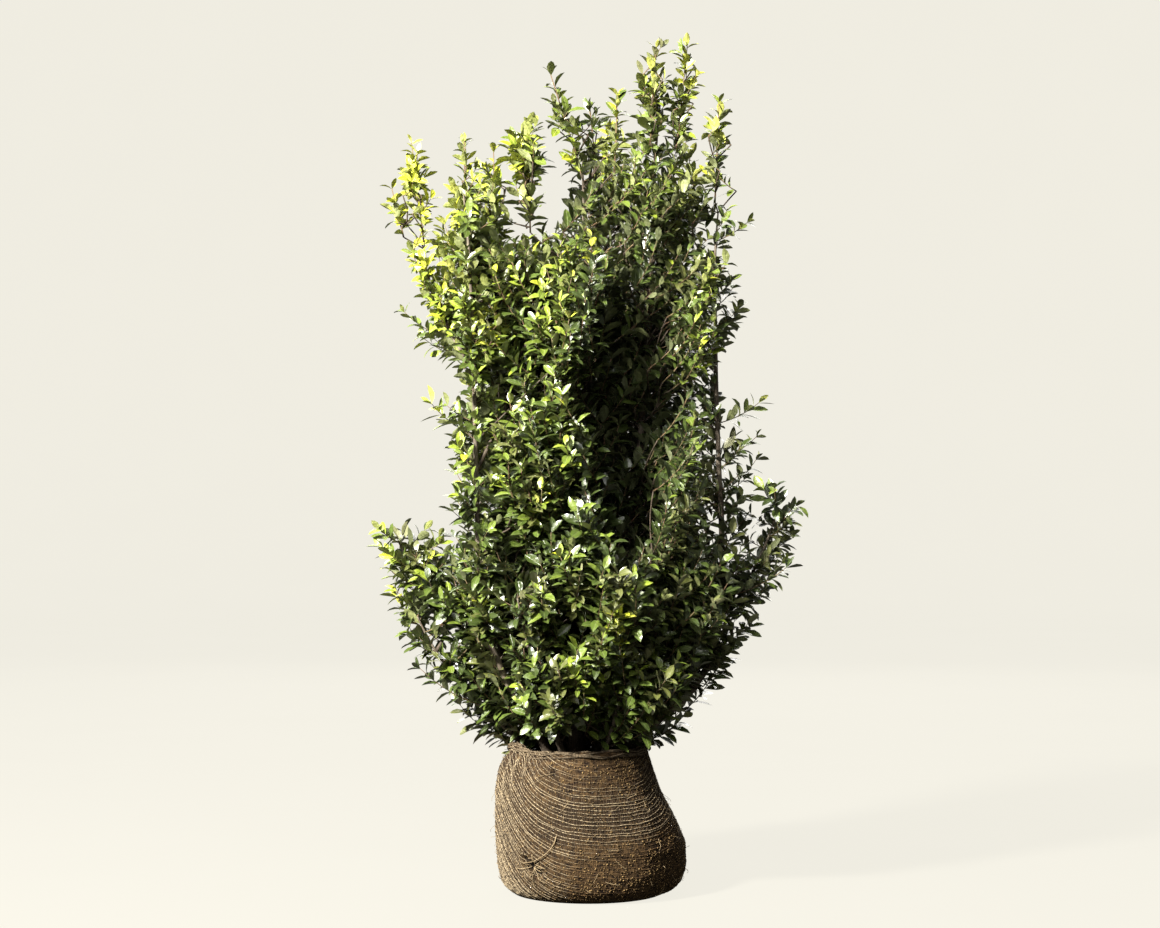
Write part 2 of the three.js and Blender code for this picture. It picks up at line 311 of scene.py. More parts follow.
def noise(tree, where, scale, detail, roughness=0.5):
    """The socket of a cloudy value from 0 to 1."""
    inputs = {"Vector": where, "Scale": scale, "Detail": detail, "Roughness": roughness}
    return add_node(tree, "TexNoise", inputs)["Fac"]


def new_material(name, roughness, specular):
    """A material, its node tree and its Principled shader's inputs."""
    material = bpy.data.materials.new(name)
    material.use_nodes = True
    shader = material.node_tree.nodes["Principled BSDF"].inputs
    shader["Roughness"].default_value, shader["Specular IOR Level"].default_value = roughness, specular
    return material, material.node_tree, shader


def surface(tree, shader, colour, relief, strength, distance):
    """Gives a shader its colour, and a bump by the relief."""
    feed(tree, shader["Base Color"], colour)
    bump = add_node(tree, "Bump", {"Height": relief, "Strength": strength, "Distance": distance})
    feed(tree, shader["Normal"], bump["Normal"])


def stain_effect():
    """Earth rubbed into a surface: a soft, uneven mask from slow and quick noise."""
    inputs, outputs = dict.fromkeys(("Scale", "Cover"), "Float"), dict.fromkeys(("Mask", "Grain"), "Float")
    tree, given, result = new_effect("earth_stain", inputs, outputs)
    where = coordinate(tree)
    slow = noise(tree, where, given["Scale"], 5.0, 0.6)
    quick = noise(tree, where, maths(tree, "MULTIPLY", given["Scale"], 9.0), 3.0)
    both = maths(tree, "ADD", slow, maths(tree, "MULTIPLY", quick, 0.45))
    over = maths(tree, "SUBTRACT", both, maths(tree, "SUBTRACT", 1.22, given["Cover"]))
    feed(tree, result["Mask"], ramp(tree, over, -0.16, 0.2))
    feed(tree, result["Grain"], quick)
    return tree


earth_stain = stain_effect()


def caked(tree, colour, scale, cover, clod_dark, clod_pale):
    """A colour with earth caked on it, and the earth's grain. Where the earth value holds painted shade,
    at the top front of the ball, this stain paints shade. cover is how far the stain spreads
    where the piece has least earth and where it has most."""
    inputs = {"Scale": scale, "Cover": ramp(tree, attribute(tree, "earth"), 0, 1, *cover)}
    stain = add_node(tree, "Group", inputs, node_tree=earth_stain)
    clod = mix(tree, ramp(tree, stain["Grain"], 0.36, 0.64), clod_dark, clod_pale)
    return mix(tree, stain["Mask"], colour, clod), stain["Grain"]


def cloth_material():
    """Open brown cloth with the earth showing: a fine weave in the UV directions over stains, painted shade
    at the top front, and the torn hole painted near black as shade.
    """
    material, tree, shader = new_material("jute_cloth", 0.95, 0.15)
    gap = (0.006, 0.004, 0.003)
    bands = []
    for way, scale in (("X", 110.0), ("Y", 46.0)):
        inputs = {"Vector": coordinate(tree, "UV"), "Scale": scale, "Distortion": 1.6, "Detail": 2.0}
        bands.append(add_node(tree, "TexWave", inputs, bands_direction=way)["Fac"])
    weave = maths(tree, "MAXIMUM", *bands)
    straw = mix(tree, weave, gap, (0.040, 0.026, 0.015))
    stained, grain = caked(tree, straw, 16.0, (0.45, 1.0), (0.010, 0.006, 0.004), (0.092, 0.056, 0.025))
    # Painted shade: the torn pit is coloured near black, as the shaded inside of the hole.
    torn = mix(tree, attribute(tree, "torn"), stained, gap)
    surface(tree, shader, torn, maths(tree, "ADD", weave, grain), 0.8, 0.0012)
    return material


CLOTH_TURNS, CLOTH_ROWS = 240, 76
CLOTH_RISE = 0.282  # from the underside up the wall, over the roll and down to the soil
cloth_angle, cloth_rise = np.meshgrid(turns(CLOTH_TURNS), np.linspace(0, CLOTH_RISE, CLOTH_ROWS))
cloth_points = on_cloth(cloth_angle, cloth_rise, 0.0).reshape(-1, 3)
cloth_places = np.stack([cloth_angle / math.tau, cloth_rise / CLOTH_RISE], -1).reshape(-1, 2)
last = len(cloth_points)
cloth_faces = [
    grid_faces(CLOTH_ROWS, CLOTH_TURNS),
    pole_faces(np.arange(CLOTH_TURNS), last, True),
    pole_faces(np.arange(last - CLOTH_TURNS, last), last + 1, False),
]
# The earth value is caked earth, and at the top front painted shade.
cloth_values = {"torn": torn_depth(cloth_angle, cloth_rise), "earth": earth_and_shade_cover(cloth_angle, cloth_rise)}
jute_cloth = new_piece(
    "jute_cloth",
    np.concatenate([cloth_points, [(0, 0, 0)], [cloth_points[-CLOTH_TURNS:].mean(0)]]),
    cloth_faces,
    "jute",
    cloth_material(),
    np.concatenate([cloth_places, [(0.5, 0), (0.5, 1)]]),
    {key: np.append(numbers, [0, 0]) for key, numbers in cloth_values.items()},
)
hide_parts("root_ball")

# ---- Jute threads ----
# The yarn of the cloth: pale weft threads round the ball, hauled up to the peak at the left so
# that they sag across the front, and finer warp threads up the wall and over the rolled edge.
# They pass over and under each other, and part round the torn hole.
WARPS, WARP_POINTS = 232, 56
WEFT_PITCH = 0.0058
LOWEST, HIGHEST = 0.0015, 0.27  # how far up the cloth the weft shows


def unit(vectors):
    """Vectors brought to length one."""
    return vectors / np.maximum(np.linalg.norm(vectors, axis=-1, keepdims=True), 1e-9)


def ripple_each(angles, waves, seed):
    """Ripples along many threads, each with its own phases."""
    return np.array([ripple(angle, waves, seed + i) for i, angle in enumerate(angles)])


def weft_haul(angle):
    """How far the weft threads are hauled up round the ball."""
    left, right, back = hump(away(angle, 183), 0.74), hump(away(angle, 8), 0.6), hump(away(angle, 84), 0.5)
    return 0.135 * left + 0.034 * right + 0.03 * back


def over_under(threads, points, over, under):
    """How far threads stand off the cloth, over and under the ones they cross."""
    return np.where((np.arange(points)[None] + np.arange(threads)[:, None]) % 2, over, under)


def part_round_hole(angle, rise):
    """Moves thread points off the hole's middle, most near it."""
    round_by, up_by = away(angle, HOLE_PLACE) * BALL_REACH, rise - HOLE_HEIGHT
    distance = np.hypot(round_by, up_by)
    push = 0.9 * HOLE_SIZE * hump(distance, 1.3 * HOLE_SIZE) / np.maximum(distance, 1e-4)
    return angle + push * round_by / BALL_REACH, rise + push * up_by


def tubes(lines, radii, sides, sidewards=None, closed=False):
    """Tubes along lines (tubes, points, 3) of radii (tubes, points), by a ring square to the line
    at each point. Rings are turned by sidewards. A point closes each end of an open tube."""
    count, length = lines.shape[:2]
    along = unit(np.roll(lines, -1, 1) - np.roll(lines, 1, 1) if closed else np.gradient(lines, axis=1))
    if sidewards is None:
        steep = np.abs(along.mean(1))
        sidewards = np.eye(3)[np.argmin(steep, -1)][:, None, :] * np.ones((1, length, 1))
    first = unit(np.cross(along, sidewards))
    second = np.cross(along, first)
    turn = turns(sides)
    ring = first[:, :, None] * np.cos(turn)[:, None] + second[:, :, None] * np.sin(turn)[:, None]
    walls = (lines[:, :, None] + ring * radii[:, :, None, None]).reshape(-1, 3)
    each = length * sides
    starts = (np.arange(count) * each)[:, None, None]
    faces = [(grid_faces(length, sides)[None] + starts).reshape(-1, 4)]
    if closed:
        seam = grid_faces(2, sides)
        seam = seam + np.where(seam >= sides, -sides, each - sides)
        return walls, faces + [(seam[None] + starts).reshape(-1, 4)]
    low = np.arange(sides)[None] + starts[:, 0]
    high = low + each - sides
    tails = (count * each + np.arange(count))[:, None] + 0 * low
    faces.append(np.stack([np.roll(low, -1, 1), low, tails], -1).reshape(-1, 3))
    faces.append(np.stack([high, np.roll(high, -1, 1), tails + count], -1).reshape(-1, 3))
    return np.concatenate([walls, lines[:, 0], lines[:, -1]]), faces


def thread_material(name, pale, dark):
    """Spun jute: each thread has its own shade, streaked along and stained with earth. The pale streaks are
    partly painted highlight and shade of the over-under weave, and the stain is painted shade at the top
    front.
    """
    material, tree, shader = new_material(name, 0.85, 0.2)
    streak = noise(tree, coordinate(tree), 420.0, 3.0)
    yarn = mix(tree, 0.55, mix(tree, attribute(tree, "shade"), dark, pale), dark)
    # Partly painted light: the pale streaks, raised in the relief, stand for the highlights and shade of the
    # over-under weave as well as the yarn's own streaks.
    streaked = mix(tree, ramp(tree, streak, 0.44, 0.6, 0.0, 0.8), yarn, pale)
    earthy = caked(tree, streaked, 13.0, (0.14, 0.92), (0.014, 0.008, 0.005), (0.118, 0.070, 0.030))[0]
    surface(tree, shader, earthy, streak, 0.5, 0.0004)
    return material


def thread_piece(name, material, lines, radii, sides, shade, earth, closed=False, upright=True):
    """A joined piece of threads. shade and earth are numbers for each tube point, repeated for
    the corners of its ring; earth also holds painted shade at the top front. upright turns the rings by the
    ball's own axis."""
    points, faces = tubes(lines, radii, sides, lines * (1, 1, 0) if upright else None, closed)
    values = {"shade": np.broadcast_to(shade, radii.shape), "earth": np.broadcast_to(earth, radii.shape)}
    for key, numbers in values.items():
        walls = np.repeat(numbers, sides, axis=1).ravel()
        values[key] = walls if closed else np.concatenate([walls, numbers[:, 0], numbers[:, -1]])
    return new_piece(name, points, faces, "jute", material, values=values)


dice = np.random.default_rng(61)
weft_middles = np.arange(-0.132, 0.238, WEFT_PITCH)
wefts = len(weft_middles)
weft_middles = weft_middles + dice.uniform(-0.0017, 0.0017, wefts)
weft_angle = turns(WARPS)[None] * np.ones((wefts, 1))
weft_rise = weft_middles[:, None] + weft_haul(weft_angle)
weft_rise = weft_rise + 0.0014 * ripple_each(weft_angle, (4, 9, 17, 26), 100)
hidden = (weft_rise < LOWEST) | (weft_rise > HIGHEST)
weft_angle, weft_rise = part_round_hole(weft_angle, np.clip(weft_rise, LOWEST, HIGHEST))
# The earth value is caked earth and, at the top front, painted shade; the threads sink into the cloth with
# it.
weft_earth_and_shade = earth_and_shade_cover(weft_angle, weft_rise)
weft_lift = 0.0006 + over_under(wefts, WARPS, 0.0007, -0.0002) - 0.0009 * weft_earth_and_shade
weft_radii = dice.uniform(0.00042, 0.00085, (wefts, 1))
weft_radii = weft_radii * (1 + 0.3 * ripple_each(weft_angle, (13, 31, 57), 300))
weft_shade = 0.75 + 0.45 * ripple(weft_angle, (2, 6, 15, 41), 77)
weft_shade = dice.uniform(0.3, 1, (wefts, 1)) * weft_shade
weft_lines = on_cloth(weft_angle, weft_rise, np.where(hidden, -0.004, weft_lift))
weft_yarn = thread_material("weft_yarn", (0.405, 0.325, 0.208), (0.030, 0.020, 0.012))
thread_piece("weft_threads", weft_yarn, weft_lines, weft_radii, 4, weft_shade, weft_earth_and_shade, closed=True)

warp_start = turns(WARPS) + dice.uniform(-0.006, 0.006, WARPS)
warp_rise = np.linspace(0.002, 0.252, WARP_POINTS)[None] * np.ones((WARPS, 1))
warp_drag = -0.18 * hump(away(warp_start, 215), 0.7)
warp_angle = warp_start[:, None] + warp_drag[:, None] * (warp_rise / 0.24) ** 1.5
warp_angle = warp_angle + 0.006 * ripple(warp_start[:, None] * 9, (1, 2, 3), 12, warp_rise * 3)
warp_angle, warp_rise = part_round_hole(warp_angle, warp_rise)
# As for the weft: caked earth and, at the top front, painted shade.
warp_earth_and_shade = earth_and_shade_cover(warp_angle, warp_rise)
warp_lift = over_under(WARPS, WARP_POINTS, 0.0007, 0.0001) - 0.0007 * warp_earth_and_shade
warp_lines = on_cloth(warp_angle, warp_rise, warp_lift)
warp_radii = dice.uniform(0.00028, 0.00052, (WARPS, 1)) * np.ones_like(warp_rise)
warp_shade = dice.uniform(0, 0.9, (WARPS, 1))
warp_yarn = thread_material("warp_yarn", (0.150, 0.110, 0.075), (0.018, 0.012, 0.008))
thread_piece("warp_threads", warp_yarn, warp_lines, warp_radii, 3, warp_shade, warp_earth_and_shade)

# ---- Rolled edge and loose ends ----
# The cloth's edge is twisted into a few thick strands along the rim. Cut threads and hairs stand
# off the wall, and one long pulled thread curls down to the torn hole.
EDGE_STRANDS, EDGE_POINTS, HAIR_POINTS = 7, 230, 8
strands = np.arange(EDGE_STRANDS)[:, None]
edge_angle = np.linspace(0, math.tau, EDGE_POINTS, endpoint=False)[None] * np.ones((EDGE_STRANDS, 1))
edge_rise = 0.2265 + 0.0036 * strands + 0.0046 * ripple_each(edge_angle, (2, 3, 5, 8, 13), 40)
edge_rise = edge_rise + peak(edge_angle)
edge_lines = on_cloth(edge_angle, edge_rise, 0.001)
edge_radii = 0.0013 + 0.0006 * ripple(edge_angle, (7, 19, 33), 91, edge_rise)
edge_shade = 0.4 + 0.45 * ripple(edge_angle, (3, 11, 29), 17, edge_rise) + 0.1 * strands % 0.3
edge_yarn = thread_material("edge_yarn", (0.190, 0.145, 0.092), (0.025, 0.017, 0.010))
thread_piece("rolled_edge", edge_yarn, edge_lines, edge_radii, 5, edge_shade, 0.0, closed=True)

HAIRS, FRAYS = 150, 10
share = np.linspace(0, 1, HAIR_POINTS)[None]
hair_start = dice.uniform(0, math.tau, (HAIRS, 1))
hair_turn = dice.uniform(-0.16, 0.16, (HAIRS, 1))
hair_rise = dice.uniform(0.02, 0.235, (HAIRS, 1)) + dice.uniform(-0.02, 0.012, (HAIRS, 1)) * share
hair_curl = dice.uniform(0.002, 0.009, (HAIRS, 1)) * np.sin(np.pi * share * 0.6) ** 2
hair_lines = on_cloth(hair_start + hair_turn * share ** 1.4, hair_rise, 0.0006 + hair_curl)
fray_way = np.radians(dice.uniform(-75, 35, (FRAYS, 1))) + np.pi * (dice.random((FRAYS, 1)) < 0.35)
fray_reach = dice.uniform(0.012, 0.036, (FRAYS, 1)) * share + 0.003
fray_bow = dice.uniform(-0.8, 0.8, (FRAYS, 1)) * share
fray_angle = math.radians(HOLE_PLACE) + fray_reach * np.cos(fray_way + fray_bow) / BALL_REACH
fray_rise = HOLE_HEIGHT + fray_reach * np.sin(fray_way + fray_bow)
fray_lines = on_cloth(fray_angle, fray_rise, 0.0016 + 0.003 * np.sin(np.pi * share))
pulled_angle = math.radians(250.5) - math.radians(25) * share ** 1.7
pulled_rise = 0.109 - 0.047 * (1 - (1 - share) ** 1.6)
pulled_line = on_cloth(pulled_angle, pulled_rise, 0.0018 + 0.003 * np.sin(np.pi * share))
loose_lines = np.concatenate([hair_lines, fray_lines, pulled_line])
loose_radii = np.repeat([0.0003, 0.0005], (HAIRS, FRAYS))[:, None] + 0 * share
loose_radii = np.concatenate([loose_radii, 0.0012 - 0.0005 * share])
loose_yarn = thread_material("loose_yarn", (0.44, 0.345, 0.21), (0.24, 0.17, 0.09))
thread_piece("loose_threads", loose_yarn, loose_lines, loose_radii, 3, 0.7, 0.0, upright=False)

# ---- Grit ----
# Grains of earth and flecks of broken fibre stick in the weave, thickest where earth is caked and where
# shade is painted at the top front.
# Each is a short stubby tube that lies along the cloth.
GRAINS = 4200
GRAIN_TRIES = 9 * GRAINS
dice = np.random.default_rng(88)
grit_angle = dice.uniform(0, math.tau, GRAIN_TRIES)
grit_height = dice.uniform(0.004, 0.225, GRAIN_TRIES)
likely = 0.16 + 0.84 * earth_and_shade_cover(grit_angle, grit_height)
stuck = np.flatnonzero(dice.random(GRAIN_TRIES) < likely)[:GRAINS, None]
grit_size = 0.0004 + 0.0010 * dice.random((len(stuck), 1)) ** 2
grit_ends = np.array([[-1.0, 1.0]]) * grit_size
grit_way = dice.uniform(0, np.pi, (len(stuck), 1))
grit_angle = grit_angle[stuck] + grit_ends * np.cos(grit_way) / BALL_REACH
grit_lines = on_cloth(grit_angle, grit_height[stuck] + grit_ends * np.sin(grit_way), 0.0007)
grit_radii = grit_size * dice.uniform(0.5, 1, (len(stuck), 2))
grit_shade = dice.random((len(stuck), 1)) ** 2.2
grit_grain = thread_material("grit_grain", (0.33, 0.22, 0.095), (0.018, 0.011, 0.006))
thread_piece("grit", grit_grain, grit_lines, grit_radii, 3, grit_shade, 0.0, upright=False)

# ---- Soil ----
# Dark damp loam shows inside the rim, heaped a little round the stems, with loose crumbs on it.
SOIL_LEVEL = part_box("main_stem")[0].z
SOIL_RINGS, SOIL_TURNS, SOIL_HEAP = 22, 90, 0.006


def soil_edge(angle):
    """How far out the soil goes: to the inside of the rolled edge."""
    return ball_radius(angle, np.full_like(angle, WALL_TOP)) - 2 * ROLL


def soil_height(angle, share):
    """Height of the soil at an angle and a share of the way out: a low heap with uneven ripples."""
    heap = SOIL_HEAP * (1 - share ** 2) - 0.001
    return SOIL_LEVEL + heap + 0.0035 * ripple(angle * 2, (1, 2, 3, 5, 8), 23, share * 0.4) * share


soil_share, soil_angle = np.meshgrid(np.linspace(1, 0.02, SOIL_RINGS), turns(SOIL_TURNS), indexing="ij")
soil_points = from_round(soil_edge(soil_angle) * soil_share, soil_angle, soil_height(soil_angle, soil_share))
soil_points = np.concatenate([soil_points.reshape(-1, 3), [(0, 0, SOIL_LEVEL + 0.005)]])
middle = len(soil_points) - 1
soil_pole = pole_faces(np.arange(middle - SOIL_TURNS, middle), middle, False)
soil_faces = [grid_faces(SOIL_RINGS, SOIL_TURNS), soil_pole]


def soil_material():
    """Damp loam: near black, lighter on the dry high spots, with a grainy relief."""
    material, tree, shader = new_material("loam", 0.9, 0.25)
    stain = add_node(tree, "Group", {"Scale": 45.0, "Cover": 0.5}, node_tree=earth_stain)
    colour = mix(tree, stain["Mask"], (0.014, 0.009, 0.006), (0.060, 0.038, 0.021))
    surface(tree, shader, colour, stain["Grain"], 1.0, 0.002)
    return material


loam = soil_material()
new_piece("soil_top", soil_points, soil_faces, "soil", loam)

CRUMBS = 300
dice = np.random.default_rng(9)
crumb_angle = dice.uniform(0, math.tau, CRUMBS)
crumb_share = np.sqrt(dice.uniform(0, 1, CRUMBS)) * 0.97
crumb_height = soil_height(crumb_angle, crumb_share)
crumb_middle = from_round(soil_edge(crumb_angle) * crumb_share, crumb_angle, crumb_height)
crumb_size = dice.uniform(0.0012, 0.0042, (CRUMBS, 1))
crumb_way = crumb_size[:, :, None] * dice.normal(0, 0.6, (CRUMBS, 1, 3))
crumb_lines = crumb_middle[:, None] + np.linspace(-0.8, 0.8, 4)[None, :, None] * crumb_way
crumb_radii = crumb_size * np.array([[0.55, 1.0, 0.9, 0.5]]) * dice.uniform(0.8, 1.2, (CRUMBS, 4))
new_piece("soil_crumbs", *tubes(crumb_lines, crumb_radii, 6), "soil", loam)

# ---- Stems and boughs ----
# Young wood from one root: smooth grey-brown bark, ringed where old leaves fell and dotted with
# pale pores. Each stem's line and thickness are read off its CAD solid, and its skin is built
# anew with knuckles and shallow ridges.
TWIG_RADIUS, TWIG_REACH = 0.0012, 42  # the reach is in radii of the limb's cut end
STEM_SIDES = 14
CUT_PITCH, LIMB_PITCH, RING_PITCH, KNUCKLE_PITCH = 0.02, 0.012, 0.006, 0.041
slots = {part["node"]: part["material_slot"] for part in frame["record"]["subparts"]}
limb_names = sorted(node for node, slot in slots.items() if slot == "bark")
mass_names = sorted(node for node, slot in slots.items() if slot in ("leaf", "young_leaf"))


def limb_line(name, pitch):
    """A limb's middle line and radius: at each height, the middle of the places where the solid's
    edges are cut, and the square root of twice their spread the narrow way."""
    corners, faces = solid_mesh(name)
    starts = corners[faces].reshape(-1, 3)
    ends = np.roll(corners[faces], -1, 1).reshape(-1, 3)
    low, high = corners[:, 2].min(), corners[:, 2].max()
    heights = np.linspace(low + 0.0005, high - 0.004, max(6, int((high - low) / pitch)))[:, None]
    rise = ends[:, 2] - starts[:, 2]
    sloping = np.abs(rise) >= 1e-9
    share = (heights - starts[:, 2]) / np.where(sloping, rise, 1)
    cut = (share > 0) & (share < 1) & sloping
    places = starts + share[..., None] * (ends - starts)
    weight = cut / cut.sum(1, keepdims=True)
    middle = (places * weight[..., None]).sum(1)
    spread = (places - middle[:, None])[..., :2]
    tensor = np.einsum("sei,sej,se->sij", spread, spread, weight)
    return middle, np.sqrt(2 * np.linalg.eigvalsh(tensor)[:, 0])


def line_length(line):
    """The length of a line."""
    return np.linalg.norm(np.diff(line, axis=0), axis=1).sum()


def resample(line, values, count):
    """A line and the values along it, read again at an even pitch."""
    travelled = np.append(0, np.cumsum(np.linalg.norm(np.diff(line, axis=0), axis=1)))
    both = np.column_stack([line, values])
    even = np.linspace(0, travelled[-1], count)
    both = np.stack([np.interp(even, travelled, both[:, k]) for k in range(4)], -1)
    return both[:, :3], both[:, 3]


def carried_on(line, radius):
    """A limb carried on past its cut end to a twig, by a curve that sets off as the limb does and
    turns up and outwards."""
    way = (line[-1] - line[-4]) / np.linalg.norm(line[-1] - line[-4])
    reach = TWIG_REACH * radius[-1]
    outwards = line[-1] * (1, 1, 0) / max(np.linalg.norm(line[-1][:2]), 0.1)
    turned = way * 0.5 + (0, 0, 0.7) + 0.12 * outwards
    middle = line[-1] + 0.45 * reach * way
    end = middle + 0.55 * reach * turned / np.linalg.norm(turned)
    share = np.linspace(0, 1, max(5, int(reach / 0.02)))[1:, None]
    past = (1 - share) ** 2 * line[-1] + 2 * share * (1 - share) * middle + share ** 2 * end
    thinning = radius[-1] + (TWIG_RADIUS - radius[-1]) * share[:, 0]
    return np.vstack([line, past]), np.append(radius, thinning)


def bark_effect():
    """Young bark: streaks stretched along the stem, dark in a painted shadow tone where their relief is low,
    pale blotches and pale pores.
    """
    inputs = dict.fromkeys(("Wood", "Pore", "Shadow"), "Color")
    tree, given, result = new_effect("young_bark", inputs, {"Colour": "Color", "Relief": "Float"})
    where = coordinate(tree)
    stretched = add_node(tree, "Mapping", {"Vector": where, "Scale": (1.0, 1.0, 0.22)})["Vector"]
    streak = noise(tree, stretched, 260.0, 4.0, 0.65)
    blotch = noise(tree, where, 38.0, 3.0)
    pores = add_node(tree, "TexVoronoi", {"Vector": where, "Scale": 240.0})["Distance"]
    pore = ramp(tree, pores, 0.14, 0.26, 1.0, 0.0)
    # Painted shade: the streaks go dark in the Shadow colour in the low parts of the relief.
    wood = mix(tree, ramp(tree, streak, 0.35, 0.7), given["Shadow"], given["Wood"])
    patchy = mix(tree, ramp(tree, blotch, 0.42, 0.66, 0.0, 0.45), wood, given["Pore"])
    feed(tree, result["Colour"], mix(tree, pore, patchy, given["Pore"]))
    feed(tree, result["Relief"], maths(tree, "ADD", streak, pore))
    return tree


young_bark = bark_effect()


def bark_material(name, wood, pore, shadow, roughness):
    """A bark in its own three colours: wood, pores and a painted shadow tone for the low streaks."""
    material, tree, shader = new_material(name, roughness, 0.3)
    bark = add_node(tree, "Group", {"Wood": wood, "Pore": pore, "Shadow": shadow}, node_tree=young_bark)
    surface(tree, shader, bark["Colour"], bark["Relief"], 0.6, 0.0006)
    return material


stem_bark = bark_material("stem_bark", (0.165, 0.13, 0.095), (0.28, 0.245, 0.19), (0.05, 0.038, 0.028), 0.75)
limb_lines = {}
for limb_index, limb_name in enumerate(limb_names):
    line, radius = limb_line(limb_name, CUT_PITCH)
    foot = (line[1] - line[0]) * 0.3 if limb_name.startswith("bough_") else (0, 0, 0.004)
    line, radius = carried_on(np.vstack([line[0] - foot, line]), np.append(radius[0], radius))
    length = line_length(line)
    limb_lines[limb_name] = resample(line, radius, int(length / LIMB_PITCH))
    rings = int(length / RING_PITCH)
    line, radius = resample(line, radius, rings)
    travelled = np.linspace(0, length, rings)
    knuckle = 0.09 * hump((travelled + 0.013 * limb_index) % KNUCKLE_PITCH - 0.02, 0.004)
    turn, climb = turns(STEM_SIDES)[None], travelled[:, None]
    ridges = 0.035 * np.sin(3 * turn + 22 * climb) + 0.03 * np.sin(5 * turn - 35 * climb)
    points, faces = tubes(line[None], (radius * (1 + knuckle))[None], STEM_SIDES)
    centres = np.repeat(line, STEM_SIDES, axis=0)
    walls = points[: len(centres)]
    points[: len(centres)] = centres + (walls - centres) * (1 + ridges.reshape(-1, 1))
    stem_piece = new_piece(limb_name + "_bark", points, faces, "bark", stem_bark)
    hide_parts(limb_name)

# ---- Where the leafy shoots end ----
# Each foliage mass is a bundle of young shoots. Their tips are strewn through it, close together
# near the crown's outside and few in the shade, and each spire is led by one long upright shoot.
# Short leafy shoots stand straight on the limbs that run in the open.
dice = np.random.default_rng(2024)
mass_corners = {name: solid_mesh(name)[0] for name in mass_names}
crown_corners = np.concatenate(list(mass_corners.values()))
crown_low, crown_high = crown_corners[:, 2].min(), crown_corners[:, 2].max()
crown_levels = np.arange(crown_low, crown_high, 0.03)
EXTENT_REACH = 0.06  # how far above and below a level the foliage counts for it
TRIES = 40  # for each point that a mass wants
MIDDLE_PULL, LEAST_HALF = 0.35, 0.12  # how far the crown's middle leans with it, and its least half width


def crown_extent(level):
    """Lowest and highest X and Y of the foliage about a height."""
    near = crown_corners[np.abs(crown_corners[:, 2] - level) < EXTENT_REACH]
    return np.concatenate([near[:, :2].min(0), near[:, :2].max(0)])


crown_extents = np.array([crown_extent(level) for level in crown_levels])


def crown_place(points):
    """Where points stand in the crown: the level way out from its middle, of length one, and
    the share of the way to the outside."""
    extent = np.stack([np.interp(points[:, 2], crown_levels, crown_extents[:, k]) for k in range(4)], -1)
    middle, half = (extent[:, :2] + extent[:, 2:]) / 2, (extent[:, 2:] - extent[:, :2]) / 2
    offset = points[:, :2] - MIDDLE_PULL * middle
    share = np.linalg.norm(offset / np.maximum(half, LEAST_HALF), axis=1)
    return np.column_stack([unit(offset), np.zeros(len(points))]), share


def strewn_inside(name, room, depth, spacing):
    """Seeded points inside a mass: one for each room of volume, none nearer than depth to its
    surface or than spacing to another. A point is inside if the nearest face looks away from it."""
    corners, faces = solid_mesh(name)
    a, b, c = corners[faces[:, 0]], corners[faces[:, 1]], corners[faces[:, 2]]
    volume = np.einsum("ij,ij->i", a, np.cross(b, c)).sum() / 6
    tree = solid_tree(name)
    low, high = corners.min(0), corners.max(0)
    wanted, kept = int(volume / room), []
    for _ in range(TRIES * wanted):
        point = dice.uniform(low, high)
        place, normal, _, distance = tree.find_nearest(point)
        inside = (point - np.array(place)) @ np.array(normal) < 0
        if not inside or distance < depth:
            continue
        if kept and np.min(np.linalg.norm(np.array(kept) - point, axis=1)) < spacing:
            continue
        kept.append(point)
        if len(kept) == wanted:
            break
    return np.array(kept).reshape(-1, 3)


# Where the crown is open, each an upright oval: its middle and half size in X and Z, how far back
# it goes, and the share of the shoots that stay in it.
OPENINGS = (
    ((0.188, 0.74), (0.017, 0.20), 1, 0.2),
    ((-0.046, 1.135), (0.044, 0.068), 1, 0.0),
    ((-0.122, 1.11), (0.030, 0.060), 1, 0.1),
    ((0.206, 0.305), (0.064, 0.070), 1, 0.0),
    ((-0.268, 0.432), (0.050, 0.028), 1, 0.0),
    ((-0.200, 0.262), (0.055, 0.036), 1, 0.1),
    ((0.0, 0.262), (0.135, 0.058), 0.02, 0.0),
    ((0.30, 0.76), (0.11, 0.36), 1, 0.45),
    ((-0.018, 0.478), (0.050, 0.075), -0.03, 0.08),
    ((0.072, 0.81), (0.105, 0.28), -0.04, 0.0),
)
SHADED = OPENINGS[-1]  # the deepest, on the front right, which lies in the shade
SOFT_EDGE = 0.5  # the outer part of an opening, over which the shoots close in again
INNER, INNER_STAY = 0.55, 0.62  # nearer the middle than this, only this share of the shoots stay
SPRAYS = ("spread_", "spray_", "side_", "shoot_", "bulge_")
TIER, SPRAY, SPIRE, LEADER, PLANTED = range(5)
# For each kind of mass: the room a shoot takes, how deep in it ends, and its spacing and length.
GROWTH = {
    TIER: (4.0e-5, 0.004, 0.018, 0.088),
    SPRAY: (7.6e-5, 0.003, 0.022, 0.078),
    SPIRE: (2.1e-5, 0.001, 0.012, 0.042),
}
# For each dressed limb: the height its shoots start at, their spacing and their usual length.
DRESSED = {
    "main_stem": (1.08, 0.011, 0.034),
    "stem_tall": (1.14, 0.012, 0.034),
    "stem_left": (0.33, 0.009, 0.040),
    "stem_right": (0.33, 0.015, 0.045),
    "stem_front": (0.30, 0.007, 0.05),
    "stem_front_left": (0.31, 0.009, 0.05),
    "stem_low_left": (0.29, 0.009, 0.045),
    "bough_low_left": (0.30, 0.007, 0.045),
    "bough_low_right": (0.30, 0.009, 0.045),
    "bough_upper_left": (0.30, 0.009, 0.04),
}


def from_oval(points, middle, half):
    """How far points are from an upright oval's middle, squared, where its edge is 1."""
    return (((points[:, [0, 2]] - middle) / half) ** 2).sum(1)


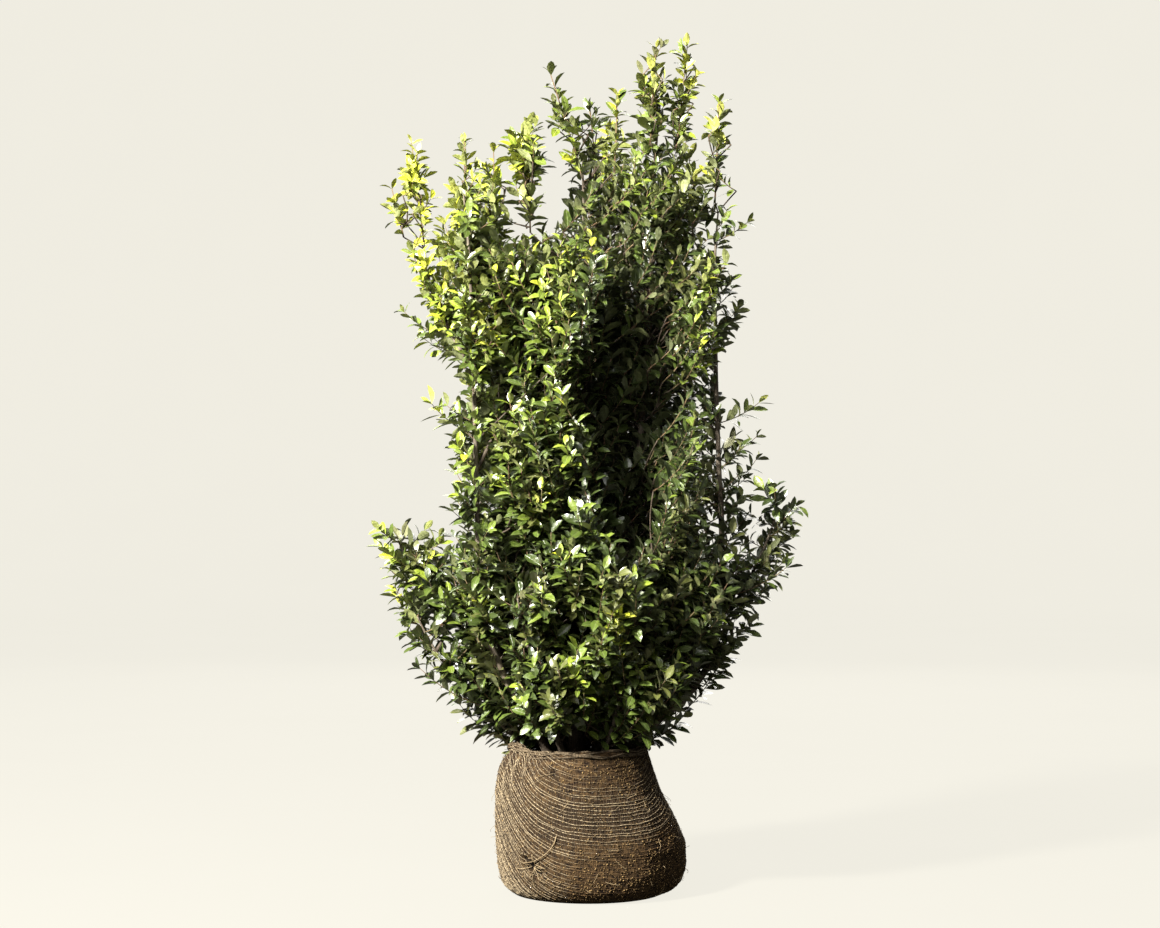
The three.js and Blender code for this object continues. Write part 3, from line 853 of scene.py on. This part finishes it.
def in_the_open(points):
    """The share of shoots that stay at each point: least in an opening, and all at its edge."""
    stay = np.ones(len(points))
    for middle, half, back, share in OPENINGS:
        closing = np.clip((from_oval(points, middle, half) - 1 + SOFT_EDGE) / SOFT_EDGE, 0, 1)
        stay = np.where(points[:, 1] < back, np.minimum(stay, share + (1 - share) * closing), stay)
    return stay


def some_lengths(usual, spread, count):
    """Seeded lengths about the usual one, none less than half of it."""
    return np.clip(dice.normal(usual, spread * usual, count), 0.5 * usual, 1.6 * usual)


shoots = []


def add_shoots(places, heading, out, length, kind):
    """Adds shoots of one kind. places are their tips, but the feet of planted ones."""
    shoots.append((places, unit(heading), out, length, np.full(len(places), kind)))


for mass_name in mass_names:
    corners = mass_corners[mass_name]
    low, high = corners.min(0), corners.max(0)
    kind = SPRAY if mass_name.startswith(SPRAYS) else TIER
    if slots[mass_name] == "young_leaf":
        kind = SPIRE
        top = corners[corners[:, 2] > high[2] - 0.02].mean(0)
        foot = corners[corners[:, 2] < low[2] + 0.03].mean(0)
        axis = (top - foot) / np.linalg.norm(top - foot)
        leader_length = np.array([0.9 * (high[2] - low[2])])
        add_shoots((top - 0.006 * axis)[None], axis[None], np.zeros((1, 3)), leader_length, LEADER)
    *strewing, usual = GROWTH[kind]
    points = strewn_inside(mass_name, *strewing)
    out, place_share = crown_place(points)
    stay = in_the_open(points)
    if kind == SPIRE:
        along = (points - foot) @ axis
        out = unit((points - foot - along[:, None] * axis) * (1, 1, 0))
        lean = np.full(len(points), 0.6)
    else:
        stay = stay * np.where(place_share > INNER, 1, INNER_STAY)
        lean = 0.2 + 0.42 * np.clip(place_share, 0, 1.2) ** 2 + (0.4 if kind == SPRAY else 0)
        lean = lean + 0.7 * np.clip((0.46 - points[:, 2]) / 0.2, 0, 1) * np.clip(place_share, 0, 1)
    kept = dice.random(len(points)) < stay
    points, out, lean = points[kept], out[kept], lean[kept]
    heading = out * lean[:, None] + (0, 0, 1) + dice.normal(0, 0.19, (len(points), 3))
    add_shoots(points, heading, out, some_lengths(usual, 0.22, len(points)), kind)
for limb_name, (start, spacing, usual) in DRESSED.items():
    line, radius = limb_lines[limb_name]
    feet = resample(line, radius, int(line_length(line) / spacing))[0]
    feet = feet[feet[:, 2] > start]
    out = from_round(1, dice.uniform(0, math.tau, len(feet)), 0)
    heading = 0.75 * out + (0, 0, 0.9) + dice.normal(0, 0.15, (len(feet), 3))
    add_shoots(feet, heading, out, some_lengths(usual, 0.25, len(feet)), PLANTED)
ends, headings, outs, lengths, kinds = map(np.concatenate, zip(*shoots))

# ---- Shoots ----
# A shoot leaves its branch at an angle and bends up to its heading. It is a smooth curve, set by
# the way it points at its foot and at its tip.
foot_headings = unit(headings + (outs * 0.5 - (0, 0, 0.3)) * (kinds != LEADER)[:, None])
chords = unit(headings + foot_headings) * lengths[:, None]
tips = np.where((kinds == PLANTED)[:, None], ends + chords, ends)
within = np.all((tips > np.array(cad_box[0])) & (tips < np.array(cad_box[1])), axis=1)
feet = (tips - chords)[within]
tips, headings, foot_headings = tips[within], headings[within], foot_headings[within]
lengths, kinds = lengths[within], kinds[within]
shoot_count = len(feet)
tip_share = crown_place(tips)[1]


def shoot_points(shoots, share):
    """Points on shoots at shares of their length, and the way they run there: a cubic curve from
    foot to tip that starts and ends along their headings."""
    t = share[..., None]
    ways = foot_headings[shoots] * lengths[shoots, None], headings[shoots] * lengths[shoots, None]
    given = feet[shoots], ways[0], tips[shoots], ways[1]
    foot, start, tip, end = (values.reshape(-1, *[1] * (t.ndim - 2), 3) for values in given)
    point = (
        (2 * t ** 3 - 3 * t ** 2 + 1) * foot + (t ** 3 - 2 * t ** 2 + t) * start
        + (3 * t ** 2 - 2 * t ** 3) * tip + (t ** 3 - t ** 2) * end
    )
    way = (
        (6 * t ** 2 - 6 * t) * foot + (3 * t ** 2 - 4 * t + 1) * start
        + (6 * t - 6 * t ** 2) * tip + (3 * t ** 2 - 2 * t) * end
    )
    return point, unit(way)


# ---- Branches ----
# From each shoot's foot the wood runs back towards a stem, down and inwards. Neighbours draw
# together, join, and go on as one branch, until a stem takes them: grown the other way, each
# stem forks into branches and those into shoots. A branch is as thick as what it carries.
BRANCH_STEP, JOIN_REACH, DRAW_REACH = 0.013, 0.013, 0.05
MOST_STEPS = 70
SLOPE = 0.75  # a branch looks for a stem this much lower than it is far away
CLIMB_COST, SPRAY_CLIMB_COST = 3.2, 8.0  # how much worse a metre above that slope is than one along
LEADER_COST = 9.0  # what keeps a leader from ending on another leader
# What steers a branch: its old way, the stem it makes for, its neighbours, and the crown's middle
# where it has strayed near the outside. It wavers a little.
TREND, PULL, DRAW, STRAY, WAVER = 0.6, 0.9, 0.4, 2.5, 0.07
SHOOT_RADIUS, BRANCH_RADIUS = 0.0011, 0.0062  # the last is the most
THICKENING = 0.36  # the power by which a branch thickens with the shoots it carries
SHORT_RINGS, LONG_RINGS = 5, 12
SHORT_CHAIN, SMOOTHINGS = 7, 5  # the most spots of a short branch, and how often lines are smoothed

leaders = np.flatnonzero(kinds == LEADER)
axis_share = np.linspace(0.05, 0.9, 14)[None] * np.ones((len(leaders), 1))
axis_points = shoot_points(leaders, axis_share)[0].reshape(-1, 3)
limb_points = np.concatenate([line for line, _ in limb_lines.values()] + [axis_points])
limb_radius = [radius for _, radius in limb_lines.values()] + [np.full(len(axis_points), TWIG_RADIUS)]
limb_radius = np.concatenate(limb_radius)
on_axis = np.arange(len(limb_points)) >= len(limb_points) - len(axis_points)
spots = list(feet)
onward = [-1] * shoot_count
front = np.arange(shoot_count)
trend = -foot_headings


def run_on(spot):
    """The spots that the wood passes from a spot to its end."""
    while spot >= 0:
        yield spot
        spot = onward[spot]


def lead_to(spot, place):
    """Runs the wood at a spot on to a new spot."""
    spots.append(place)
    onward.append(-1)
    onward[spot] = len(spots) - 1


def search_tree(places):
    """Places as a search tree."""
    tree = KDTree(len(places))
    for i, place in enumerate(places):
        tree.insert(place, i)
    tree.balance()
    return tree


alive = [shoot for shoot in range(shoot_count) if kinds[shoot] != PLANTED]
for _ in range(MOST_STEPS):
    if not alive:
        break
    here = np.array([spots[front[i]] for i in alive])
    gap = limb_points[None] - here[:, None]
    level = np.hypot(gap[..., 0], gap[..., 1])
    climb = np.where(kinds[alive] == SPRAY, SPRAY_CLIMB_COST, CLIMB_COST)[:, None]
    cost = np.linalg.norm(gap, axis=-1) + climb * np.maximum(0, gap[..., 2] + SLOPE * level)
    cost = cost + LEADER_COST * on_axis[None] * (kinds[alive] == LEADER)[:, None]
    best = cost.argmin(1)
    pull = gap[np.arange(len(alive)), best]
    reach = np.linalg.norm(pull, axis=1)
    aside, strayed = crown_place(here)
    fronts, trails = search_tree(here), search_tree(spots)
    still = []
    for i, shoot in enumerate(alive):
        spot = front[shoot]
        if onward[spot] >= 0:
            continue
        if reach[i] < max(1.3 * BRANCH_STEP, limb_radius[best[i]] + 0.004):
            lead_to(spot, limb_points[best[i]])
            continue
        near = (other for _, other, _ in trails.find_range(here[i], JOIN_REACH) if other != spot)
        joined = next((other for other in near if spot not in run_on(other)), None)
        if joined is not None:
            onward[spot] = joined
            continue
        stray = np.clip(strayed[i] - 0.8, 0, 0.5)
        near = [other for _, other, _ in fronts.find_range(here[i], DRAW_REACH) if other != i]
        draw = here[near].mean(0) - here[i] if near else np.zeros(3)
        draw = draw / max(np.linalg.norm(draw), 1e-6) * bool(near)
        way = TREND * trend[shoot] + PULL * pull[i] / reach[i] + DRAW * draw - STRAY * stray * aside[i]
        way += dice.normal(0, WAVER, 3)
        way /= np.linalg.norm(way)
        trend[shoot] = way
        lead_to(spot, here[i] + way * BRANCH_STEP)
        front[shoot] = onward[spot]
        still.append(shoot)
    alive = still
for shoot in alive:
    gap = np.linalg.norm(limb_points - spots[front[shoot]], axis=1)
    lead_to(front[shoot], limb_points[gap.argmin()])

spots = np.array(spots)
chains = [list(run_on(shoot)) for shoot in range(shoot_count)]
carried = np.bincount(np.concatenate(chains), minlength=len(spots))
branch_radius = np.minimum(SHOOT_RADIUS * carried ** THICKENING, BRANCH_RADIUS)
claimed = np.zeros(len(spots), bool)
branch_lines = {SHORT_RINGS: [], LONG_RINGS: []}
for shoot in np.argsort([-len(chain) for chain in chains], kind="stable"):
    chain = np.array(chains[shoot])
    chain = chain[: 1 + np.argmax(np.append(claimed[chain[1:]], True)) + 1]
    claimed[chain] = True
    if len(chain) < 2:
        continue
    line, radius = spots[chain], branch_radius[chain]
    for _ in range(SMOOTHINGS):
        line[1:-1] = (line[:-2] + 2 * line[1:-1] + line[2:]) / 4
    radius[-1] = min(radius[-1], 1.6 * radius[-2])
    rings = SHORT_RINGS if len(chain) <= SHORT_CHAIN else LONG_RINGS
    branch_lines[rings].append(resample(line, radius, rings))

# Painted shade: the branches run inside the crown's shade, so their bark is a darker copy of the stem bark.
branch_tones = (0.09, 0.066, 0.046), (0.15, 0.125, 0.09), (0.03, 0.021, 0.015)
shaded_branch_bark = bark_material("shaded_branch_bark", *branch_tones, 0.7)
for name, rings, sides in (("long_branches", LONG_RINGS, 6), ("short_branches", SHORT_RINGS, 4)):
    lines, radii = (np.array(values) for values in zip(*branch_lines[rings]))
    new_piece(name, *tubes(lines, radii, sides), "bark", shaded_branch_bark)

shoot_bark = bark_material("shoot_bark", (0.17, 0.105, 0.055), (0.22, 0.20, 0.09), (0.085, 0.045, 0.03), 0.6)
shoot_share = np.linspace(0, 1, 6)[None] * np.ones((shoot_count, 1))
shoot_lines = shoot_points(np.arange(shoot_count), shoot_share)[0]
shoot_radii = SHOOT_RADIUS * (1.05 - 0.5 * shoot_share) * np.where(kinds == LEADER, 1.6, 1.0)[:, None]
new_piece("leafy_shoots", *tubes(shoot_lines, shoot_radii, 3), "bark", shoot_bark)

# ---- Leaves ----
# Small leathery pointed ovals, each a share of a turn round the shoot from the last. They are
# glossy above and dull below, folded along the midrib and bent back at the tip. The youngest,
# at the ends of the outer shoots, are a soft yellow-green; lighter tints on the side toward the
# key light and at the low front are painted light, and the deepest tint in the shaded hollow is painted
# shade.
LEAF_PITCH = np.array([0.0060, 0.0060, 0.0074, 0.0074, 0.0056])  # by kind of shoot
LEAST_LEAVES, TIP_LEAVES = 4, 3  # the last stand close together at the tip
NEXT_LEAF_TURN, LEAF_ANGLE, TIP_CLOSING = np.radians((137.5, 52, 22))
LEAF_LENGTH, LEAF_HALF_WIDTH = 0.0268, 0.215  # the usual length, and the half width as a share of it
SHORTEST, LONGEST = 0.010, 0.037
# Half width at each station along the blade, as a share of the widest.
BLADE_STATIONS = np.array([0.0, 0.27, 0.56, 0.83, 1.0])
BLADE_WIDTHS = np.array([0.0, 0.68, 1.0, 0.66, 0.0])

per_shoot = np.maximum(LEAST_LEAVES, (lengths / LEAF_PITCH[kinds]).astype(int)) + TIP_LEAVES
leaf_shoot = np.repeat(np.arange(shoot_count), per_shoot)
leaf_count = len(leaf_shoot)
leaf_number = np.arange(leaf_count) - np.repeat(np.cumsum(per_shoot) - per_shoot, per_shoot)
from_tip = per_shoot[leaf_shoot] - 1 - leaf_number
leaf_share = np.clip(1.02 - (from_tip + 0.5 * dice.random(leaf_count)) / per_shoot[leaf_shoot], 0.04, 1)
leaf_share = np.where(from_tip < TIP_LEAVES, 1 - 0.012 * from_tip, leaf_share)
leaf_foot, leaf_stem = shoot_points(leaf_shoot, leaf_share)
side = unit(np.cross(leaf_stem, np.where(np.abs(leaf_stem[:, 2:]) > 0.9, (1, 0, 0), (0, 0, 1))))
turned = leaf_number * NEXT_LEAF_TURN + dice.uniform(0, math.tau, shoot_count)[leaf_shoot]
turned = (turned + dice.normal(0, 0.25, leaf_count))[:, None]
outwards = side * np.cos(turned) + np.cross(leaf_stem, side) * np.sin(turned)
opening = np.clip(LEAF_ANGLE - TIP_CLOSING * np.exp(-from_tip / 2.4), 0.3, 1.2)
opening = (opening + dice.normal(0, 0.16, leaf_count))[:, None]
leaf_way = unit(leaf_stem * np.cos(opening) + outwards * np.sin(opening))
leaf_up = leaf_stem * 0.8 + (0, 0, 0.5) + dice.normal(0, 0.33, (leaf_count, 3))
leaf_up = unit(leaf_up - leaf_way * (leaf_up * leaf_way).sum(1, keepdims=True))
leaf_side = np.cross(leaf_way, leaf_up)

vigour = 1.1 - 0.14 * np.clip((tips[:, 2] - 0.5) / 0.6, 0, 1) + 0.15 * (tip_share < 0.5)
vigour = vigour * dice.normal(1, 0.09, shoot_count)
leaf_length = LEAF_LENGTH * vigour[leaf_shoot] * (1 - 0.3 * np.exp(-from_tip / 1.4))
leaf_length = np.clip(leaf_length * dice.normal(1, 0.11, leaf_count), SHORTEST, LONGEST)
leaf_half = leaf_length * dice.normal(LEAF_HALF_WIDTH, 0.020, leaf_count)
leaf_fold = dice.uniform(0.12, 0.6, leaf_count)
leaf_bend = dice.normal(0.45, 0.3, leaf_count)


def leaf_mesh(chosen):
    """Points, faces and UV of the chosen leaves. A leaf has stations along its midrib, bent in
    an arc, and at each inner one an edge point on either side, raised by the fold."""
    length, half, bend = leaf_length[chosen, None], leaf_half[chosen, None], leaf_bend[chosen, None]
    way, up, aside = leaf_way[chosen, None], leaf_up[chosen, None], leaf_side[chosen, None]
    arc = bend * BLADE_STATIONS[None]
    flat = np.abs(bend) < 1e-3
    rounded = np.where(flat, 1, bend)
    straight = np.where(flat, BLADE_STATIONS[None], np.sin(arc) / rounded)
    drop = np.where(flat, 0, (1 - np.cos(arc)) / rounded)
    middle = leaf_foot[chosen, None] + way * (straight * length)[..., None] - up * (drop * length)[..., None]
    inner = slice(1, -1)
    width = (BLADE_WIDTHS[None, inner] * half)[..., None]
    raised = up * width * leaf_fold[chosen, None, None]
    left, right = middle[:, inner] - aside * width + raised, middle[:, inner] + aside * width + raised
    points = np.concatenate([middle[:, :1], left, middle[:, inner], right, middle[:, -1:]], 1)
    each, stations = points.shape[1], len(BLADE_STATIONS) - 2
    rows = [np.arange(stations) + 1 + stations * k for k in range(3)]
    pairs = rows[:2], rows[1:]
    quads = [np.stack([a[:-1], b[:-1], b[1:], a[1:]], -1) for a, b in pairs]
    ends = [[0, b[0], a[0]] for a, b in pairs] + [[a[-1], b[-1], each - 1] for a, b in pairs]
    starts = (np.arange(len(chosen)) * each)[:, None, None]
    along = np.concatenate([[0], np.tile(BLADE_STATIONS[inner], 3), [1]])
    across = np.concatenate([[0.5], np.repeat([0, 0.5, 1], stations), [0.5]])
    parts = np.concatenate(quads), np.array(ends)
    faces = [(part[None] + starts).reshape(-1, part.shape[1]) for part in parts]
    return points.reshape(-1, 3), faces, np.tile(np.stack([across, along], -1), (len(chosen), 1))


def blade_effect():
    """A leaf blade from its UV: a pale midrib, faint side veins, slow blotches and waves."""
    inputs = {"Blade": "Color", "Vein": "Color", "Deep": "Color", "Variation": "Float"}
    tree, given, result = new_effect("leaf_blade", inputs, {"Colour": "Color", "Relief": "Float"})
    split = add_node(tree, "SeparateXYZ", {"Vector": coordinate(tree, "UV")})
    off_middle = maths(tree, "ABSOLUTE", maths(tree, "SUBTRACT", split["X"], 0.5))
    midrib = ramp(tree, off_middle, 0.02, 0.07, 1.0, 0.0)
    slant = maths(tree, "MULTIPLY", off_middle, 26.0)
    slant = maths(tree, "SUBTRACT", maths(tree, "MULTIPLY", split["Y"], 44.0), slant)
    veins = ramp(tree, maths(tree, "SINE", slant), 0.72, 1.0, 0.0, 0.35)
    blotch = ramp(tree, noise(tree, coordinate(tree), 55.0, 2.0), 0.35, 0.65)
    patch = maths(tree, "MULTIPLY", blotch, given["Variation"])
    blade = mix(tree, patch, given["Blade"], given["Deep"])
    pale = maths(tree, "MAXIMUM", maths(tree, "MULTIPLY", midrib, 0.6), veins)
    feed(tree, result["Colour"], mix(tree, pale, blade, given["Vein"]))
    wave = maths(tree, "MULTIPLY", noise(tree, coordinate(tree), 130.0, 1.0), 2.0)
    creases = maths(tree, "MULTIPLY", midrib, 0.3)
    creases = maths(tree, "SUBTRACT", maths(tree, "MULTIPLY", veins, -0.15), creases)
    feed(tree, result["Relief"], maths(tree, "ADD", wave, creases))
    return tree


leaf_blade = blade_effect()


def leaf_material(name, blade, vein, deep, under, roughness, coat):
    """A leaf's two sides: a glossy upper side in its tint and a dull paler under side."""
    material, tree, shader = new_material(name, roughness, 0.65)
    shader["Coat Weight"].default_value, shader["Coat Roughness"].default_value = coat, 0.31
    inputs = {"Blade": blade, "Vein": vein, "Deep": deep, "Variation": 0.7}
    upper = add_node(tree, "Group", inputs, node_tree=leaf_blade)
    under_side = add_node(tree, "NewGeometry")["Backfacing"]
    feed(tree, shader["Roughness"], ramp(tree, under_side, 0, 1, roughness, 0.65))
    colour = mix(tree, under_side, upper["Colour"], under)
    surface(tree, shader, colour, upper["Relief"], 0.75, 0.0016)
    return material


# Tints, the youngest first: blade, vein, deep patch, under side, roughness, gloss.
LEAF_TINTS = {
    "fresh_leaves": (
        (0.50, 0.53, 0.030), (0.64, 0.66, 0.16), (0.34, 0.40, 0.022), (0.42, 0.44, 0.09), 0.42, 0.5),
    "spring_leaves": (
        (0.26, 0.34, 0.026), (0.42, 0.46, 0.12), (0.155, 0.22, 0.016), (0.27, 0.30, 0.08), 0.40, 0.8),
    "bright_leaves": (
        (0.152, 0.216, 0.023), (0.28, 0.31, 0.11), (0.088, 0.133, 0.014), (0.19, 0.215, 0.07), 0.36, 1.0),
    "green_leaves": (
        (0.090, 0.138, 0.018), (0.20, 0.23, 0.09), (0.048, 0.080, 0.012), (0.14, 0.16, 0.06), 0.35, 1.0),
    "deep_leaves": (
        (0.044, 0.068, 0.012), (0.11, 0.14, 0.05), (0.024, 0.040, 0.008), (0.09, 0.105, 0.04), 0.33, 1.0),
    "olive_leaves": (
        (0.122, 0.138, 0.031), (0.22, 0.23, 0.10), (0.068, 0.080, 0.018), (0.17, 0.175, 0.075), 0.38, 1.0),
}
FRESH, SPRING, BRIGHT, GREEN, DEEP, OLIVE = range(6)
# The tint score is leaf youth together with painted light toward the key light and at the low front.
YOUTH_AND_LIGHT_STEPS = (0.56, 0.24, -0.13, -0.64)  # the least youth for each of the first four tints
LOW_YOUTH_AND_LIGHT = 0.5  # the most youth in the low part of the crown
OLIVE_SHARE = 0.16  # of the older shoots
ODD_SHARE, ODDER_SHARE = 0.16, 0.20  # of the leaves, a tint younger or older than their shoot
SHADED_SHARE = 0.85  # of the shoots in the shade, those with the deepest tint
YOUNG_LEAVES, OLD_LEAVES = 4, 9  # from the tip: younger before the first number, older past the last

height_share = (tips[:, 2] - crown_low) / (crown_high - crown_low)
# Painted light in part: shoots higher up and on the side toward the key light score higher and get lighter,
# yellower tints; the brightest tints also stand in for sun shining through young leaves.
sunward = -0.55 * tips[:, 0] / 0.3 - 0.1 * tips[:, 1] / 0.25
youth_and_light = 1.25 * (height_share - 0.64) + 0.6 * (sunward - 0.1) * (0.3 + 0.9 * height_share)
youth_and_light = youth_and_light + 0.45 * (tip_share - 0.9)
# Painted light: a lighter tint at the low front centre, a painted pool of light.
youth_and_light = youth_and_light + 0.5 * np.exp(-(((tips[:, 0] - 0.03) / 0.14) ** 2) - ((tips[:, 2] - 0.36) / 0.13) ** 2)
# Painted light again: sprays on the side toward the key light get lighter tints.
youth_and_light = youth_and_light + 0.2 * np.isin(kinds, (SPIRE, LEADER)) + 0.25 * (kinds == SPRAY) * np.clip(sunward, 0, 1)
youth_and_light = youth_and_light + dice.normal(0, 0.26, shoot_count)
youth_and_light = np.where(height_share < 0.45, np.minimum(youth_and_light, LOW_YOUTH_AND_LIGHT), youth_and_light)
shoot_tint = np.select([youth_and_light > step for step in YOUTH_AND_LIGHT_STEPS], [FRESH, SPRING, BRIGHT, GREEN], DEEP)
shoot_tint = np.where((shoot_tint >= GREEN) & (dice.random(shoot_count) < OLIVE_SHARE), OLIVE, shoot_tint)
# Painted shade: most shoots in the shaded hollow on the front right take the deepest tint.
shade = (from_oval(tips, *SHADED[:2]) < 1) & (tips[:, 1] < 0.05) & (dice.random(shoot_count) < SHADED_SHARE)
leaf_tint = np.where(shade, DEEP, shoot_tint)[leaf_shoot]
odd = dice.random(leaf_count)
leaf_tint -= (odd < ODD_SHARE) & (leaf_tint > FRESH) & (leaf_tint < OLIVE)
leaf_tint += (odd > 1 - ODDER_SHARE) & (leaf_tint < DEEP)
outer = (from_tip < YOUNG_LEAVES) & (tip_share[leaf_shoot] > 0.7)
leaf_tint -= outer & (leaf_tint > FRESH) & (leaf_tint < DEEP)
leaf_tint += (from_tip > OLD_LEAVES) & (leaf_tint < GREEN)
for tint, (leaf_name, look) in enumerate(LEAF_TINTS.items()):
    points, faces, places = leaf_mesh(np.flatnonzero(leaf_tint == tint))
    slot = "young_leaf" if tint in (FRESH, SPRING) else "leaf"
    foliage = new_piece(leaf_name, points, faces, slot, leaf_material(leaf_name, *look), places)
    if tint in (FRESH, GREEN):
        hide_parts(*[name for name in mass_names if slots[name] == slot])

# ---- Photographer's bowl, lights and camera ----
# A pale floor that curves up all round, a hard key light high on the left, a weak fill in front,
# a broad soft light behind, and a camera level with the plant's middle.
BOWL_RADIUS, BOWL_CURVE, BOWL_TOP, BOWL_TURNS = 7.0, 2.0, 5.0, 64
PLANT_MIDDLE = (0, 0, 0.7)
bowl_arc = np.linspace(0, np.pi / 2, 12)
bowl_radius = BOWL_RADIUS + BOWL_CURVE * np.append(np.sin(bowl_arc), 1)
bowl_radius = np.concatenate([[3.0, 5.0], bowl_radius])
bowl_height = np.concatenate([[0, 0], BOWL_CURVE * (1 - np.cos(bowl_arc)), [BOWL_TOP]])
bowl_points = from_round(bowl_radius[:, None], turns(BOWL_TURNS), bowl_height[:, None]).reshape(-1, 3)
bowl_faces = grid_faces(len(bowl_radius), BOWL_TURNS)[:, ::-1].tolist()
bowl_faces += pole_faces(np.arange(BOWL_TURNS), len(bowl_points), False).tolist()
bowl_mesh = bpy.data.meshes.new("bowl")
bowl_mesh.from_pydata(np.vstack([bowl_points, (0, 0, 0)]).tolist(), [], bowl_faces)
bowl_mesh.polygons.foreach_set("use_smooth", np.ones(len(bowl_mesh.polygons), bool))


def add_object(name, data):
    """An object in the scene."""
    thing = bpy.data.objects.new(name, data)
    bpy.context.scene.collection.objects.link(thing)
    return thing


bowl = add_object("bowl", bowl_mesh)
paper, tree, shader = new_material("paper", 0.9, 0.0)
seen = add_node(tree, "LightPath")["Is Camera Ray"]
mottle = noise(tree, coordinate(tree), 3.0, 2.0)
glow = mix(tree, mottle, (0.875, 0.850, 0.762), (0.885, 0.860, 0.772))
feed(tree, shader["Base Color"], (0.030, 0.029, 0.026))
feed(tree, shader["Emission Color"], glow)
feed(tree, shader["Emission Strength"], ramp(tree, seen, 0, 1, 0.09, 0.965))
bowl_mesh.materials.append(paper)


def add_light(name, place, size, power, colour):
    """A square soft light that looks at the middle of the plant."""
    light = bpy.data.lights.new(name, "AREA")
    light.size, light.energy, light.color = size, power, colour
    lamp = add_object(name, light)
    lamp.location = place
    x, y, z = np.subtract(PLANT_MIDDLE, place)
    lamp.rotation_euler = (math.atan2(math.hypot(x, y), -z), 0, math.atan2(y, x) - math.pi / 2)


add_light("key", (-2.7, -2.8, 3.1), 0.5, 980, (1.0, 0.96, 0.88))
add_light("fill", (-0.8, -3.4, 3.2), 2.4, 60, (1.0, 0.99, 0.95))
add_light("back", (0.3, 3.8, 2.4), 3.5, 140, (1.0, 0.98, 0.94))
world = bpy.data.worlds.new("studio")
world.use_nodes = True
sky = world.node_tree.nodes["Background"].inputs
sky["Color"].default_value, sky["Strength"].default_value = (0.95, 0.96, 1.0, 1), 0.16
bpy.context.scene.world = world
bpy.context.scene.view_settings.view_transform = "Standard"

CAMERA_DISTANCE, SENSOR_WIDTH = 4.1, 36
VIEW_WIDTH = 1.869  # what the frame spans at the plant
camera_data = bpy.data.cameras.new("camera")
camera_data.sensor_width = SENSOR_WIDTH
camera_data.lens = SENSOR_WIDTH * CAMERA_DISTANCE / VIEW_WIDTH
camera = add_object("camera", camera_data)
camera.location = (-0.013, -CAMERA_DISTANCE, 0.688)
camera.rotation_euler = (math.pi / 2, 0, 0)
bpy.context.scene.camera = camera
